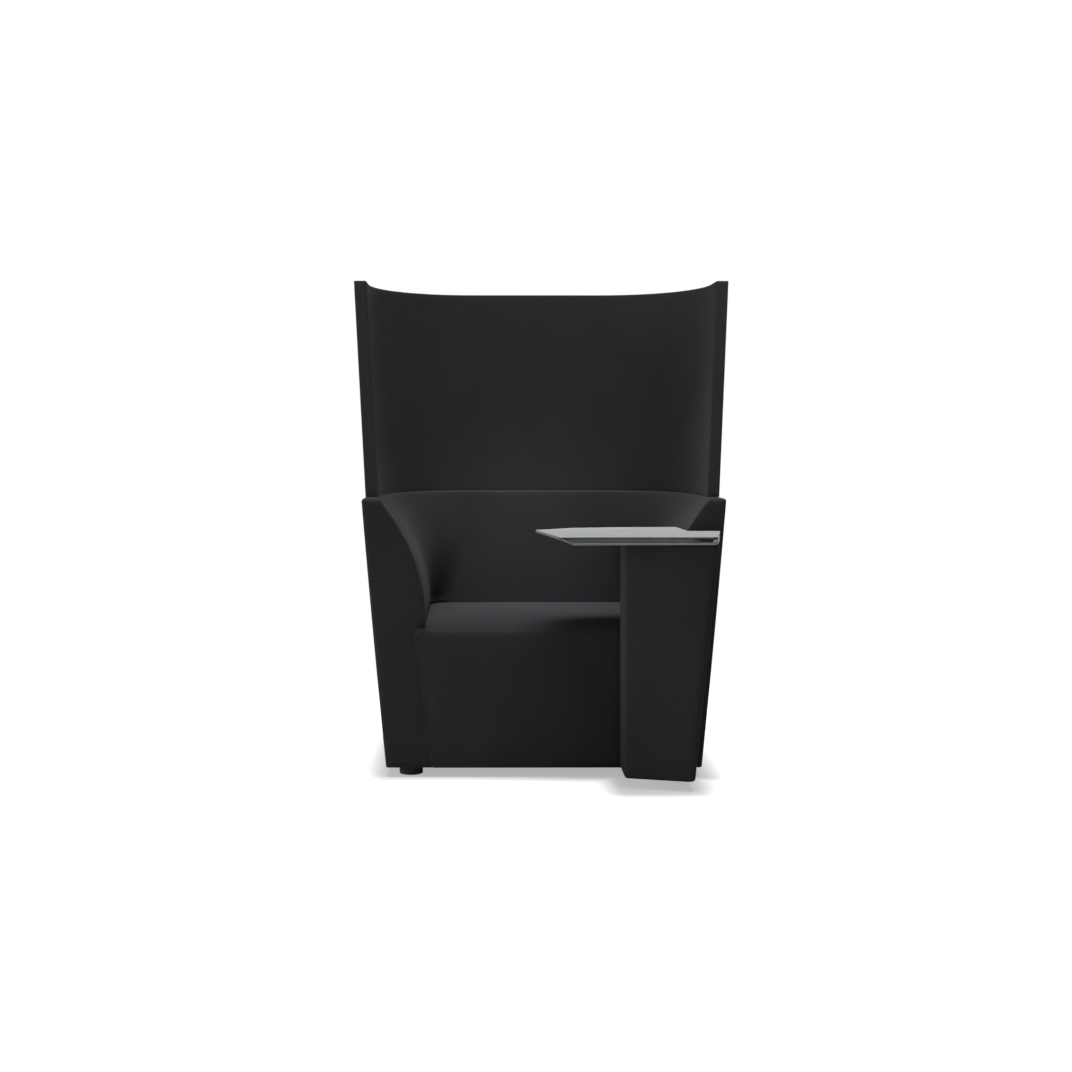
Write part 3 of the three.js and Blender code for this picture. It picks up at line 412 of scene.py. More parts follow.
def quarter(steps):
    """Angles of a quarter turn, from 0."""
    return [math.pi / 2 * i / steps for i in range(steps + 1)]


def eased(share):
    """A share that starts and ends slowly."""
    return share * share * (3 - 2 * share)


def hem_arc(low, edge):
    """Heights and insets of a rounded lower edge."""
    return [
        (low + edge * (1 - math.cos(a)), edge * (1 - math.sin(a))) for a in quarter(EDGE_STEPS)
    ]


def rim_arc(high, edge):
    """Heights and insets of a rounded upper edge, after the level where it starts."""
    return [
        (high - edge * (1 - math.sin(a)), edge * (1 - math.cos(a)))
        for a in quarter(EDGE_STEPS)[1:]
    ]


def pad_shape(share):
    """Height of a padded panel across its width: none at the edges, 1 over most of the middle."""
    return 1 - (2 * share - 1) ** 4


def lofted(bm, rows):
    """A grid whose rows of vertices take the given places, with a UV map in metres.

    Returns the column and row of each vertex.
    """
    columns = len(rows[0]) - 1
    layer = bm.loops.layers.uv.verify()
    made = bmesh.ops.create_grid(
        bm, x_segments=columns, y_segments=len(rows) - 1, size=0.5, calc_uvs=True
    )
    middle = rows[len(rows) // 2]
    across = running_length(middle)
    along = running_length([row[columns // 2] for row in rows])
    places = {}
    for vert in made["verts"]:
        column = round((vert.co.x + 0.5) * columns)
        row = round((vert.co.y + 0.5) * (len(rows) - 1))
        places[vert] = (column, row)
    for vert, (column, row) in places.items():
        vert.co = rows[row][column]
        for loop in vert.link_loops:
            loop[layer].uv = (across[column], along[row])
    return places


def running_length(points):
    """Length along a line of points, at each point."""
    total, lengths = 0.0, [0.0]
    for before, after in zip(points, points[1:]):
        total += (Vector(after) - Vector(before)).length
        lengths.append(total)
    return lengths


def mirror_half(bm):
    """Adds the other half of a shape whose half lies at positive x."""
    everything = bm.verts[:] + bm.edges[:] + bm.faces[:]
    bmesh.ops.mirror(bm, geom=everything, axis="X", matrix=Matrix.Identity(4), merge_dist=MERGE)


def close_skin(bm):
    """Joins patches that share their borders and turns every face outwards."""
    bmesh.ops.remove_doubles(bm, verts=bm.verts[:], dist=MERGE)
    bmesh.ops.dissolve_degenerate(bm, edges=bm.edges[:], dist=MERGE / 4)
    bmesh.ops.recalc_face_normals(bm, faces=bm.faces[:])


def finished(name, bm, material, body, smooth=True):
    """Makes the object of a finished bmesh and lets it ride on its body."""
    mesh = bpy.data.meshes.new(name)
    bm.to_mesh(mesh)
    bm.free()
    for polygon in mesh.polygons:
        polygon.use_smooth = smooth
    piece = bpy.data.objects.new(name, mesh)
    bpy.context.scene.collection.objects.link(piece)
    piece.data.materials.append(material)
    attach(piece, body)
    return piece


def give_thickness(piece, thickness):
    """Thickens an open skin inwards."""
    solid = piece.modifiers.new("Cover", "SOLIDIFY")
    solid.thickness = thickness
    solid.offset = -1
    solid.use_rim = True


@dataclass
class Horseshoe:
    """Right half of a U seen from above: a straight side, an elliptic corner and the back."""

    half: float
    back: float
    corner_width: float
    corner_depth: float

    def grown(self, by):
        return Horseshoe(
            self.half + by, self.back + by, self.corner_width + by, self.corner_depth + by
        )

    def points(self, start):
        """From a depth along the side, round the corner and on to the middle of the back."""
        turn = self.back - self.corner_depth
        middle = self.half - self.corner_width
        side = [(self.half, depth) for depth in evenly(start, turn, SIDE_STEPS)[:-1]]
        corner = [
            (middle + self.corner_width * math.cos(a), turn + self.corner_depth * math.sin(a))
            for a in quarter(CORNER_STEPS)
        ]
        back = [(x, self.back) for x in evenly(middle, 0, BACK_STEPS)[1:]]
        return side + corner + back

    def depth_at(self, x):
        """Depth of the back or of the corner at a place across."""
        past = max(x - self.half + self.corner_width, 0) / self.corner_width
        return self.back - self.corner_depth * (1 - math.sqrt(max(1 - past**2, 0)))


def horseshoe_between(low, high, share):
    """The horseshoe at a share of the way from one to another."""
    return Horseshoe(
        lerp(low.half, high.half, share),
        lerp(low.back, high.back, share),
        lerp(low.corner_width, high.corner_width, share),
        lerp(low.corner_depth, high.corner_depth, share),
    )


def wall_end(outer, inner, front, outer_edge, inner_edge, belly):
    """Front end of a wall between two horseshoes, from the inner to the outer face."""
    inner_arc = [
        (
            inner.half + inner_edge * (1 - math.cos(a)),
            front + inner_edge * (1 - math.sin(a)),
        )
        for a in quarter(EDGE_STEPS)
    ]
    outer_arc = [
        (
            outer.half - outer_edge * (1 - math.sin(a)),
            front + outer_edge * (1 - math.cos(a)),
        )
        for a in quarter(EDGE_STEPS)
    ]
    start, end = inner_arc[-1][0], outer_arc[0][0]
    face = [
        (lerp(start, end, share), front - belly * pad_shape(share))
        for share in evenly(0, 1, END_STEPS)[1:-1]
    ]
    return inner_arc + face + outer_arc


def wall_ring(outer, inner, end, outer_start, inner_start):
    """One level of a wall: along its inside, round its front end and along its outside."""
    inside = inner.points(inner_start)[::-1]
    outside = outer.points(outer_start)
    return inside[:-1] + end + outside[1:]


def placed(points, height):
    """Points seen from above as (x, depth), at one height in the chair's frame."""
    return [Vector((x, FRONT + depth, height)) for x, depth in points]


def wall_cap(outer, inner, end, outer_start, inner_start, height):
    """Rows of the narrow top of a wall, from its front end to the middle of the back."""
    width = end[-1][0] - end[0][0]
    shares = [(x - end[0][0]) / width for x, _ in end]
    rows = [placed(end, height)]
    pairs = zip(inner.points(inner_start)[1:], outer.points(outer_start)[1:])
    for near, far in pairs:
        row = [(lerp(near[0], far[0], s), lerp(near[1], far[1], s)) for s in shares]
        rows.append(placed(row, height))
    return rows


# Shapes of the chair


def tub_share(height):
    """Share of the tub's height, from hem to rim."""
    tub = bpy.context.scene.lounge_tub
    return (height - tub.low) / (tub.high - tub.low)


def tub_outside(height):
    """Outer faces of the tub, which lean outwards."""
    tub = bpy.context.scene.lounge_tub
    low = Horseshoe(
        tub.floor_half, tub.floor_back, tub.floor_corner_width, tub.floor_corner_depth
    )
    high = Horseshoe(tub.rim_half, tub.rim_back, tub.rim_corner_width, tub.rim_corner_depth)
    return horseshoe_between(low, high, tub_share(height))


def tub_belly(height):
    """How far the tub's outer faces stand proud, which is most half way up."""
    share = tub_share(height)
    return 4 * share * (1 - share) * bpy.context.scene.lounge_tub.side_belly


def seat_side(height):
    """Half width of the seat block, whose shoulders round in at the top."""
    seat = bpy.context.scene.lounge_seat
    tub = bpy.context.scene.lounge_tub
    shoulder_low = seat.height - seat.shoulder
    if height <= shoulder_low:
        share = (height - tub.low) / (shoulder_low - tub.low)
        return lerp(seat.hem_half, seat.shoulder_half, share)
    rise = min((height - shoulder_low) / seat.shoulder, 1.0)
    return seat.shoulder_half - seat.shoulder * (1 - math.sqrt(1 - rise**2))


def scoop_inside(height):
    """Inner faces of the tub: along the seat block, and leaning outwards above it."""
    tub = bpy.context.scene.lounge_tub
    scoop = bpy.context.scene.lounge_scoop
    seat = bpy.context.scene.lounge_seat
    rise = max(height - scoop.start, 0) / (tub.high - scoop.start)
    half = lerp(scoop.seat_half, tub.rim_half - scoop.arm_top, rise**scoop.flare)
    if height < seat.height:
        half = max(seat_side(height), 0) + TINY
    return Horseshoe(
        half,
        lerp(scoop.seat_back, tub.rim_back - scoop.back_top, rise**scoop.back_flare),
        lerp(scoop.seat_corner_width, scoop.rim_corner_width, rise),
        lerp(scoop.seat_corner_depth, scoop.rim_corner_depth, rise),
    )


def mouth_edge(height):
    """Rounding of the arms' inner front edges: tight along the seat block, larger above it."""
    scoop = bpy.context.scene.lounge_scoop
    seat = bpy.context.scene.lounge_seat
    share = min(max((height - seat.height - scoop.seam_rise) / seat.shoulder, 0), 1)
    return lerp(scoop.seam_edge, scoop.mouth, share)


def tub_levels():
    """Heights and insets from the turned hem to the top of the rim."""
    tub = bpy.context.scene.lounge_tub
    scoop = bpy.context.scene.lounge_scoop
    seat = bpy.context.scene.lounge_seat
    shoulder_low = seat.height - seat.shoulder
    upright = evenly(tub.low + tub.hem_edge, shoulder_low, TUB_STEPS["apron"])[1:-1]
    upright += [
        shoulder_low + seat.shoulder * math.sin(a) for a in quarter(TUB_STEPS["shoulder"])
    ]
    upright += evenly(seat.height, scoop.start, TUB_STEPS["over_seat"])[1:-1]
    upright += evenly(scoop.start, tub.high - tub.rim_edge, TUB_STEPS["flare"])
    turned = [(tub.low, tub.hem_turn), (tub.low, lerp(tub.hem_edge, tub.hem_turn, 0.5))]
    turned += hem_arc(tub.low, tub.hem_edge)
    return turned + [(z, 0) for z in upright] + rim_arc(tub.high, tub.rim_edge)


def tub_skin(bm):
    """Skin of the tub: wall, scoop and rim, open below and where the seat fills it."""
    tub = bpy.context.scene.lounge_tub
    rows = []
    for height, inset in tub_levels():
        outer = tub_outside(height).grown(tub_belly(height) - inset)
        inner = scoop_inside(height).grown(inset)
        outer_edge = max(tub.front_edge - inset, TINY)
        inner_edge = max(mouth_edge(height) - inset, TINY)
        belly = tub.belly if inset == 0 else 0
        end = wall_end(outer, inner, inset, outer_edge, inner_edge, belly)
        starts = (inset + outer_edge, inset + inner_edge)
        rows.append(placed(wall_ring(outer, inner, end, *starts), height))
    places = lofted(bm, rows)
    remove_hidden_inside(bm, places, len(inner.points(0)))
    lofted(bm, wall_cap(outer, inner, end, *starts, tub.high))
    mirror_half(bm)
    close_skin(bm)


def remove_hidden_inside(bm, places, inner_columns):
    """Opens the tub's inner wall where the seat block fills it, behind a turn of cloth."""
    tub = bpy.context.scene.lounge_tub
    seat = bpy.context.scene.lounge_seat
    hidden = []
    for face in bm.faces:
        centre = face.calc_center_median()
        if centre.z > seat.height - seat.shoulder / 2 or centre.y - FRONT < tub.hem_turn:
            continue
        if all(places[vert][0] < inner_columns for vert in face.verts):
            hidden.append(face)
    bmesh.ops.delete(bm, geom=hidden, context="FACES")


def screen_share(height):
    """Share of the screen's height, from the rim to its top."""
    screen = bpy.context.scene.lounge_screen
    return (height - screen.low) / (screen.high - screen.low)


def screen_outside(height):
    """Outer faces of the screen, which lean on from the tub's."""
    screen = bpy.context.scene.lounge_screen
    low = Horseshoe(
        screen.base_half, screen.base_back, screen.base_corner_width, screen.base_corner_depth
    )
    high = Horseshoe(
        screen.top_half, screen.top_back, screen.top_corner_width, screen.top_corner_depth
    )
    return horseshoe_between(low, high, screen_share(height))


def screen_levels():
    """Heights and insets from the screen's turned hem to its top."""
    screen = bpy.context.scene.lounge_screen
    edge, foot = screen.edge, screen.foot_edge
    upright = evenly(screen.low + foot, screen.high - edge, SCREEN_STEPS)[1:]
    turned = [(screen.low, screen.hem_turn), (screen.low, lerp(foot, screen.hem_turn, 0.4))]
    turned += hem_arc(screen.low, foot)
    return turned + [(z, 0) for z in upright] + rim_arc(screen.high, edge)


def screen_skin(bm):
    """Skin of the tall screen, open on the rim."""
    screen = bpy.context.scene.lounge_screen
    rows = []
    for height, inset in screen_levels():
        outer = screen_outside(height).grown(-inset)
        inner = screen_outside(height).grown(inset - screen.thickness)
        front = lerp(screen.base_front, screen.top_front, screen_share(height)) + inset
        edge = max(screen.end_edge - inset, TINY)
        end = wall_end(outer, inner, front, edge, edge, 0)
        starts = (front + edge, front + edge)
        rows.append(placed(wall_ring(outer, inner, end, *starts), height))
    lofted(bm, rows)
    lofted(bm, wall_cap(outer, inner, end, *starts, screen.high))
    mirror_half(bm)
    close_skin(bm)


def seat_profile(drop, share):
    """Side view of the seat block at one place across it, as (depth, height, x), closed."""
    seat = bpy.context.scene.lounge_seat
    tub = bpy.context.scene.lounge_tub
    back = bpy.context.scene.lounge_scoop.seat_back + seat.back_tuck
    walls = tub_outside(seat.pad_bottom).grown(-seat.wall_clear)
    back = min(back, walls.depth_at(share * seat.shoulder_half))
    top = seat.height - drop
    across = 1 - share**2
    inwards = min((1 - share) * seat.shoulder_half / seat.edge_taper, 1)
    edge = lerp(seat.corner_edge, seat.front_edge, eased(inwards))
    profile = []

    def add(depth, height):
        profile.append((depth, height, share * seat_reach(height)))

    for height in evenly(tub.low, top - edge, SEAT_STEPS["front"])[:-1]:
        rise = (height - tub.low) / (top - edge - tub.low)
        add(-seat.belly * pad_shape(rise) * across, height)
    for a in quarter(SEAT_STEPS["edge"]):
        crown = seat.crown * seat.crown_share * across * math.sin(a)
        chord = a / (math.pi / 2)
        depth = lerp(1 - math.cos(a), chord, seat.edge_flat)
        rise = lerp(math.sin(a), chord, seat.edge_flat)
        add(edge * depth, top - edge * (1 - rise) + crown)
    for depth in evenly(edge, back, SEAT_STEPS["top"])[1:]:
        middle = math.sin(math.pi * depth / back)
        crown = seat.crown * lerp(seat.crown_share, 1, middle) * across
        add(depth, top + crown)
    for height in evenly(top, seat.pad_bottom, SEAT_STEPS["back"])[1:]:
        add(back, height)
    for depth in evenly(back, seat.apron, PAD_STEPS["under"])[1:]:
        add(depth, seat.pad_bottom)
    for height in evenly(seat.pad_bottom, tub.low, PAD_STEPS["behind_apron"])[1:]:
        add(seat.apron, height)
    add(seat.apron / 2, tub.low)
    add(0, tub.low)
    return profile


def seat_reach(height):
    """Half width of the seat block at a height, without the rounding of its shoulders."""
    seat = bpy.context.scene.lounge_seat
    return seat_side(min(height, seat.height - seat.shoulder))


def side_edge(edge, outer):
    """True for an edge on the seat's side, not on its middle plane."""
    return all(vert.co.x > outer * SIDE_FROM for vert in edge.verts)


def seat_skin(bm):
    """Closed skin of the seat block: apron, rounded shoulders, crowned top and underside."""
    seat = bpy.context.scene.lounge_seat
    flat = (seat.shoulder_half - seat.shoulder) / seat.shoulder_half
    places = [(share * flat, 0.0) for share in evenly(0, 1, SEAT_STEPS["across"])[:-1]]
    for a in quarter(SEAT_STEPS["shoulder"])[::-1]:
        reach = seat.shoulder_half - seat.shoulder * (1 - math.cos(a))
        places.append((reach / seat.shoulder_half, seat.shoulder * (1 - math.sin(a))))
    rows = []
    for share, drop in places:
        row = seat_profile(drop, share)
        rows.append([Vector((x, FRONT + depth, height)) for depth, height, x in row])
    lofted(bm, rows)
    bmesh.ops.remove_doubles(bm, verts=bm.verts[:], dist=MERGE)
    outer = max(vert.co.x for vert in bm.verts)
    rim = [edge for edge in bm.edges if edge.is_boundary and side_edge(edge, outer)]
    bmesh.ops.contextual_create(bm, geom=rim)
    mirror_half(bm)
    close_skin(bm)


def held_on_seat(place):
    """True along the seat's seams and wherever the seat is hidden."""
    seat = bpy.context.scene.lounge_seat
    depth = place.y - FRONT
    covered = bpy.context.scene.lounge_scoop.seat_back - seat.back_tuck
    along_edge = depth < seat.front_edge and place.z > seat.height - seat.front_edge - seat.crown
    on_top = place.z > seat.height - seat.shoulder / 3 and depth < covered
    on_apron = depth < seat.front_edge / 2 and place.z > TUB_LOW.z + seat.apron / 3
    inside = abs(place.x) < seat_side(min(place.z, seat.height)) - seat.back_tuck
    return along_edge or not inside or not (on_top or on_apron)


def swell(piece, held, most):
    """Lets cloth simulation swell the panels between held places, capped in its movement."""
    mesh, scene = piece.data, bpy.context.scene
    pins = piece.vertex_groups.new(name="held")
    pins.add([vert.index for vert in mesh.vertices if held(vert.co)], 1.0, "REPLACE")
    cloth = piece.modifiers.new("Swell", "CLOTH")
    settings = cloth.settings
    settings.vertex_group_mass = pins.name
    settings.use_pressure = True
    settings.uniform_pressure_force = SWELL_PRESSURE
    settings.effector_weights.gravity = 0
    cloth.point_cache.frame_start, cloth.point_cache.frame_end = 1, SWELL_FRAMES
    for moment in range(1, SWELL_FRAMES + 1):
        scene.frame_set(moment)
    moved = piece.evaluated_get(bpy.context.evaluated_depsgraph_get())
    places = [vert.co.copy() for vert in moved.data.vertices]
    piece.modifiers.remove(cloth)
    piece.vertex_groups.remove(pins)
    scene.frame_set(1)
    for vert, place in zip(mesh.vertices, places):
        move = place - vert.co
        vert.co += move * min(1.0, most / max(move.length, MERGE))


def polygon_ring(corners, steps, belly):
    """A closed ring round a polygon of (x, depth, corner reach), anticlockwise."""
    ring = []
    count = len(corners)
    arcs = []
    for i, (x, depth, reach) in enumerate(corners):
        here = Vector((x, depth))
        before = Vector(corners[i - 1][:2])
        after = Vector(corners[(i + 1) % count][:2])
        start = here + (before - here).normalized() * reach
        end = here + (after - here).normalized() * reach
        arcs.append(
            [
                start.lerp(here, t).lerp(here.lerp(end, t), t)
                for t in evenly(0, 1, EDGE_STEPS)
            ]
        )
    for i, arc in enumerate(arcs):
        ring += arc
        start, end = arc[-1], arcs[(i + 1) % count][0]
        outwards = Vector((end.y - start.y, start.x - end.x)).normalized()
        for share in evenly(0, 1, steps)[1:-1]:
            ring.append(start.lerp(end, share) + outwards * belly * pad_shape(share))
    ring.append(ring[0].copy())
    return ring


def pedestal_ring(height, inset, belly):
    """Outline of the pedestal at a height, drawn in by an inset."""
    pedestal = bpy.context.scene.lounge_pedestal
    share = (height - pedestal.low) / (pedestal.high - pedestal.low)
    left = pedestal.left + inset
    right = lerp(pedestal.floor_right, pedestal.top_right, share) - inset
    back = -pedestal.arm_gap - inset

    def front(x):
        return -pedestal.left_depth - pedestal.slope * (x - pedestal.left) + inset

    def reach(corner):
        return max(corner - inset, TINY)

    corners = [
        (left, front(left), reach(pedestal.left_corner)),
        (right, front(right), reach(pedestal.right_corner)),
        (right, back, reach(pedestal.back_corner)),
        (left, back, reach(pedestal.back_corner)),
    ]
    return polygon_ring(corners, PEDESTAL_STEPS["side"], belly)


def pedestal_skin(bm):
    """Skin of the pedestal, open below and round the swivel."""
    pedestal = bpy.context.scene.lounge_pedestal
    hem, top = pedestal.hem_edge, pedestal.top_edge
    upright = evenly(pedestal.low + hem, pedestal.high - top, PEDESTAL_STEPS["height"])[1:]
    levels = [(pedestal.low, pedestal.hem_turn)] + hem_arc(pedestal.low, hem)
    levels += [(z, 0) for z in upright] + rim_arc(pedestal.high, top)
    rows = []
    for height, inset in levels:
        rise = (height - pedestal.low) / (pedestal.high - pedestal.low)
        belly = pedestal.belly * pad_shape(rise) if inset == 0 else 0
        ring = pedestal_ring(height, inset, belly)
        rows.append(placed([(p.x, p.y) for p in ring], height))
    swivel = Vector((pedestal.swivel_x, pedestal.swivel_depth))
    border = pedestal_ring(pedestal.high, top, 0)
    hole = [swivel + (p - swivel).normalized() * pedestal.bore for p in border]
    for share in evenly(0, 1, PEDESTAL_STEPS["top"])[1:]:
        row = [p.lerp(q, share) for p, q in zip(border, hole)]
        rows.append(placed([(p.x, p.y) for p in row], pedestal.high))
    lofted(bm, rows)
    close_skin(bm)


def bead(bm, points, outwards, radius):
    """A thin sewn bead along a line of points, sunk a little into the cloth."""
    rows = []
    for i, point in enumerate(points):
        along = (points[min(i + 1, len(points) - 1)] - points[max(i - 1, 0)]).normalized()
        out = (outwards[i] - along * outwards[i].dot(along)).normalized()
        beside = along.cross(out)
        rows.append([
            point + (out * (math.cos(a) - SUNK) + beside * math.sin(a)) * radius
            for a in evenly(0, 2 * math.pi, SEAM_STEPS["round"])
        ])
    lofted(bm, rows)
    bmesh.ops.remove_doubles(bm, verts=bm.verts[:], dist=MERGE)
    ends = [edge for edge in bm.edges if edge.is_boundary]
    bmesh.ops.holes_fill(bm, edges=ends)
    bmesh.ops.recalc_face_normals(bm, faces=bm.faces[:])


def corner_line(outside, low, high, belly):
    """Upright line over the rear corner of a horseshoe that changes with height."""
    points, outwards = [], []
    turned = math.pi / 4
    for height in evenly(low, high, SEAM_STEPS["rear"]):
        shape = outside(height).grown(belly(height))
        points.append(Vector((
            shape.half - shape.corner_width * (1 - math.cos(turned)),
            FRONT + shape.back - shape.corner_depth * (1 - math.sin(turned)),
            height,
        )))
        outwards.append(Vector((
            math.cos(turned) / shape.corner_width, math.sin(turned) / shape.corner_depth, 0
        )))
    return points, outwards


def seat_seam_line():
    """Upright line between the arm's front face and the apron."""
    tub, seat = bpy.context.scene.lounge_tub, bpy.context.scene.lounge_seat
    shoulder_low = seat.height - seat.shoulder
    heights = evenly(tub.low + tub.hem_edge, shoulder_low, SEAM_STEPS["seat"])
    points = [Vector((seat_side(z), FRONT + TINY, z)) for z in heights]
    return points, [Vector((0, -1, 0))] * len(points)


# Materials


def node_material(name):
    """A new material with its nodes and links."""
    material = bpy.data.materials.new(name)
    material.use_nodes = True
    return material, material.node_tree.nodes, material.node_tree.links


def math_node(nodes, operation, value=None):
    node = nodes.new("ShaderNodeMath")
    node.operation = operation
    if value is not None:
        node.inputs[1].default_value = value
    return node


def woven_group():
    """Plain weave from a UV map in metres, with mottled fibres from the place in space."""
    if "woven_cloth" in bpy.data.node_groups:
        return bpy.data.node_groups["woven_cloth"]
    group = bpy.data.node_groups.new("woven_cloth", "ShaderNodeTree")
    face = group.interface
    face.new_socket("UV", in_out="INPUT", socket_type="NodeSocketVector")
    face.new_socket("Place", in_out="INPUT", socket_type="NodeSocketVector")
    pitch = face.new_socket("Threads per metre", in_out="INPUT", socket_type="NodeSocketFloat")
    pitch.default_value = 700
    face.new_socket("Height", in_out="OUTPUT", socket_type="NodeSocketFloat")
    face.new_socket("Fibre", in_out="OUTPUT", socket_type="NodeSocketFloat")
    face.new_socket("Cloud", in_out="OUTPUT", socket_type="NodeSocketFloat")
    nodes, links = group.nodes, group.links
    given = nodes.new("NodeGroupInput")
    result = nodes.new("NodeGroupOutput")

    scaled = nodes.new("ShaderNodeVectorMath")
    scaled.operation = "SCALE"
    links.new(given.outputs["UV"], scaled.inputs[0])
    links.new(given.outputs["Threads per metre"], scaled.inputs["Scale"])
    split = nodes.new("ShaderNodeSeparateXYZ")
    links.new(scaled.outputs[0], split.inputs[0])

    def strand(axis):
        turned = math_node(nodes, "MULTIPLY", math.pi)
        links.new(split.outputs[axis], turned.inputs[0])
        wave = math_node(nodes, "SINE")
        links.new(turned.outputs[0], wave.inputs[0])
        rounded = math_node(nodes, "ABSOLUTE")
        links.new(wave.outputs[0], rounded.inputs[0])
        return rounded.outputs[0]

    def count(axis):
        whole = math_node(nodes, "FLOOR")
        links.new(split.outputs[axis], whole.inputs[0])
        return whole.outputs[0]

    both = math_node(nodes, "ADD")
    links.new(count("X"), both.inputs[0])
    links.new(count("Y"), both.inputs[1])
    odd = math_node(nodes, "FLOORED_MODULO", 2)
    links.new(both.outputs[0], odd.inputs[0])
    over = nodes.new("ShaderNodeMix")
    links.new(odd.outputs[0], over.inputs["Factor"])
    links.new(strand("X"), over.inputs["A"])
    links.new(strand("Y"), over.inputs["B"])
    links.new(over.outputs["Result"], result.inputs["Height"])

    fibre = nodes.new("ShaderNodeTexNoise")
    fibre.inputs["Scale"].default_value = 620
    fibre.inputs["Detail"].default_value = 2
    fibre.inputs["Roughness"].default_value = 0.7
    links.new(given.outputs["Place"], fibre.inputs["Vector"])
    links.new(fibre.outputs["Fac"], result.inputs["Fibre"])
    cloud = nodes.new("ShaderNodeTexNoise")
    cloud.inputs["Scale"].default_value = 7
    cloud.inputs["Detail"].default_value = 3
    links.new(given.outputs["Place"], cloud.inputs["Vector"])
    links.new(cloud.outputs["Fac"], result.inputs["Cloud"])
    return group


def cloth_material(name, dark, light, threads):
    """Matt wool cloth: two shades of fibre, a fine weave and a soft sheen."""
    if name in bpy.data.materials:
        return bpy.data.materials[name]
    material, nodes, links = node_material(name)
    shader = nodes["Principled BSDF"]
    coordinates = nodes.new("ShaderNodeTexCoord")
    weave = nodes.new("ShaderNodeGroup")
    weave.node_tree = woven_group()
    weave.inputs["Threads per metre"].default_value = threads
    links.new(coordinates.outputs["UV"], weave.inputs["UV"])
    links.new(coordinates.outputs["Object"], weave.inputs["Place"])

    fibres = nodes.new("ShaderNodeValToRGB")
    fibres.color_ramp.elements[0].position = 0.3
    fibres.color_ramp.elements[0].color = (*dark, 1)
    fibres.color_ramp.elements[1].position = 0.7
    fibres.color_ramp.elements[1].color = (*light, 1)
    links.new(weave.outputs["Fibre"], fibres.inputs["Fac"])
    tone = nodes.new("ShaderNodeMapRange")
    tone.inputs["From Min"].default_value = 0.3
    tone.inputs["From Max"].default_value = 0.7
    tone.inputs["To Min"].default_value = 0.95
    tone.inputs["To Max"].default_value = 1.05
    links.new(weave.outputs["Cloud"], tone.inputs["Value"])
    shade = nodes.new("ShaderNodeVectorMath")
    shade.operation = "SCALE"
    links.new(fibres.outputs["Color"], shade.inputs[0])
    links.new(tone.outputs["Result"], shade.inputs["Scale"])
    links.new(shade.outputs[0], shader.inputs["Base Color"])

    rough = nodes.new("ShaderNodeMapRange")
    rough.inputs["To Min"].default_value = 0.82
    rough.inputs["To Max"].default_value = 0.96
    links.new(weave.outputs["Height"], rough.inputs["Value"])
    links.new(rough.outputs["Result"], shader.inputs["Roughness"])
    bump = nodes.new("ShaderNodeBump")
    bump.inputs["Strength"].default_value = 0.5
    bump.inputs["Distance"].default_value = 0.0002
    links.new(weave.outputs["Height"], bump.inputs["Height"])
    links.new(bump.outputs["Normal"], shader.inputs["Normal"])
    shader.inputs["Sheen Weight"].default_value = 0.02
    shader.inputs["Sheen Roughness"].default_value = 0.5
    shader.inputs["Specular IOR Level"].default_value = 0.15
    return material


def speckle_group():
    """Fine speckle and broad unevenness of a moulded or laminated surface."""
    if "speckled_surface" in bpy.data.node_groups:
        return bpy.data.node_groups["speckled_surface"]
    group = bpy.data.node_groups.new("speckled_surface", "ShaderNodeTree")
    face = group.interface
    face.new_socket("Place", in_out="INPUT", socket_type="NodeSocketVector")
    grain = face.new_socket("Grain", in_out="INPUT", socket_type="NodeSocketFloat")
    grain.default_value = 900
    for name in ("Speckle", "Cloud"):
        face.new_socket(name, in_out="OUTPUT", socket_type="NodeSocketFloat")
    nodes, links = group.nodes, group.links
    given = nodes.new("NodeGroupInput")
    result = nodes.new("NodeGroupOutput")
    fine = nodes.new("ShaderNodeTexNoise")
    fine.inputs["Detail"].default_value = 3
    links.new(given.outputs["Place"], fine.inputs["Vector"])
    links.new(given.outputs["Grain"], fine.inputs["Scale"])
    links.new(fine.outputs["Fac"], result.inputs["Speckle"])
    broad = nodes.new("ShaderNodeTexNoise")
    broad.inputs["Scale"].default_value = 9
    broad.inputs["Detail"].default_value = 4
    links.new(given.outputs["Place"], broad.inputs["Vector"])
    links.new(broad.outputs["Fac"], result.inputs["Cloud"])
    return group


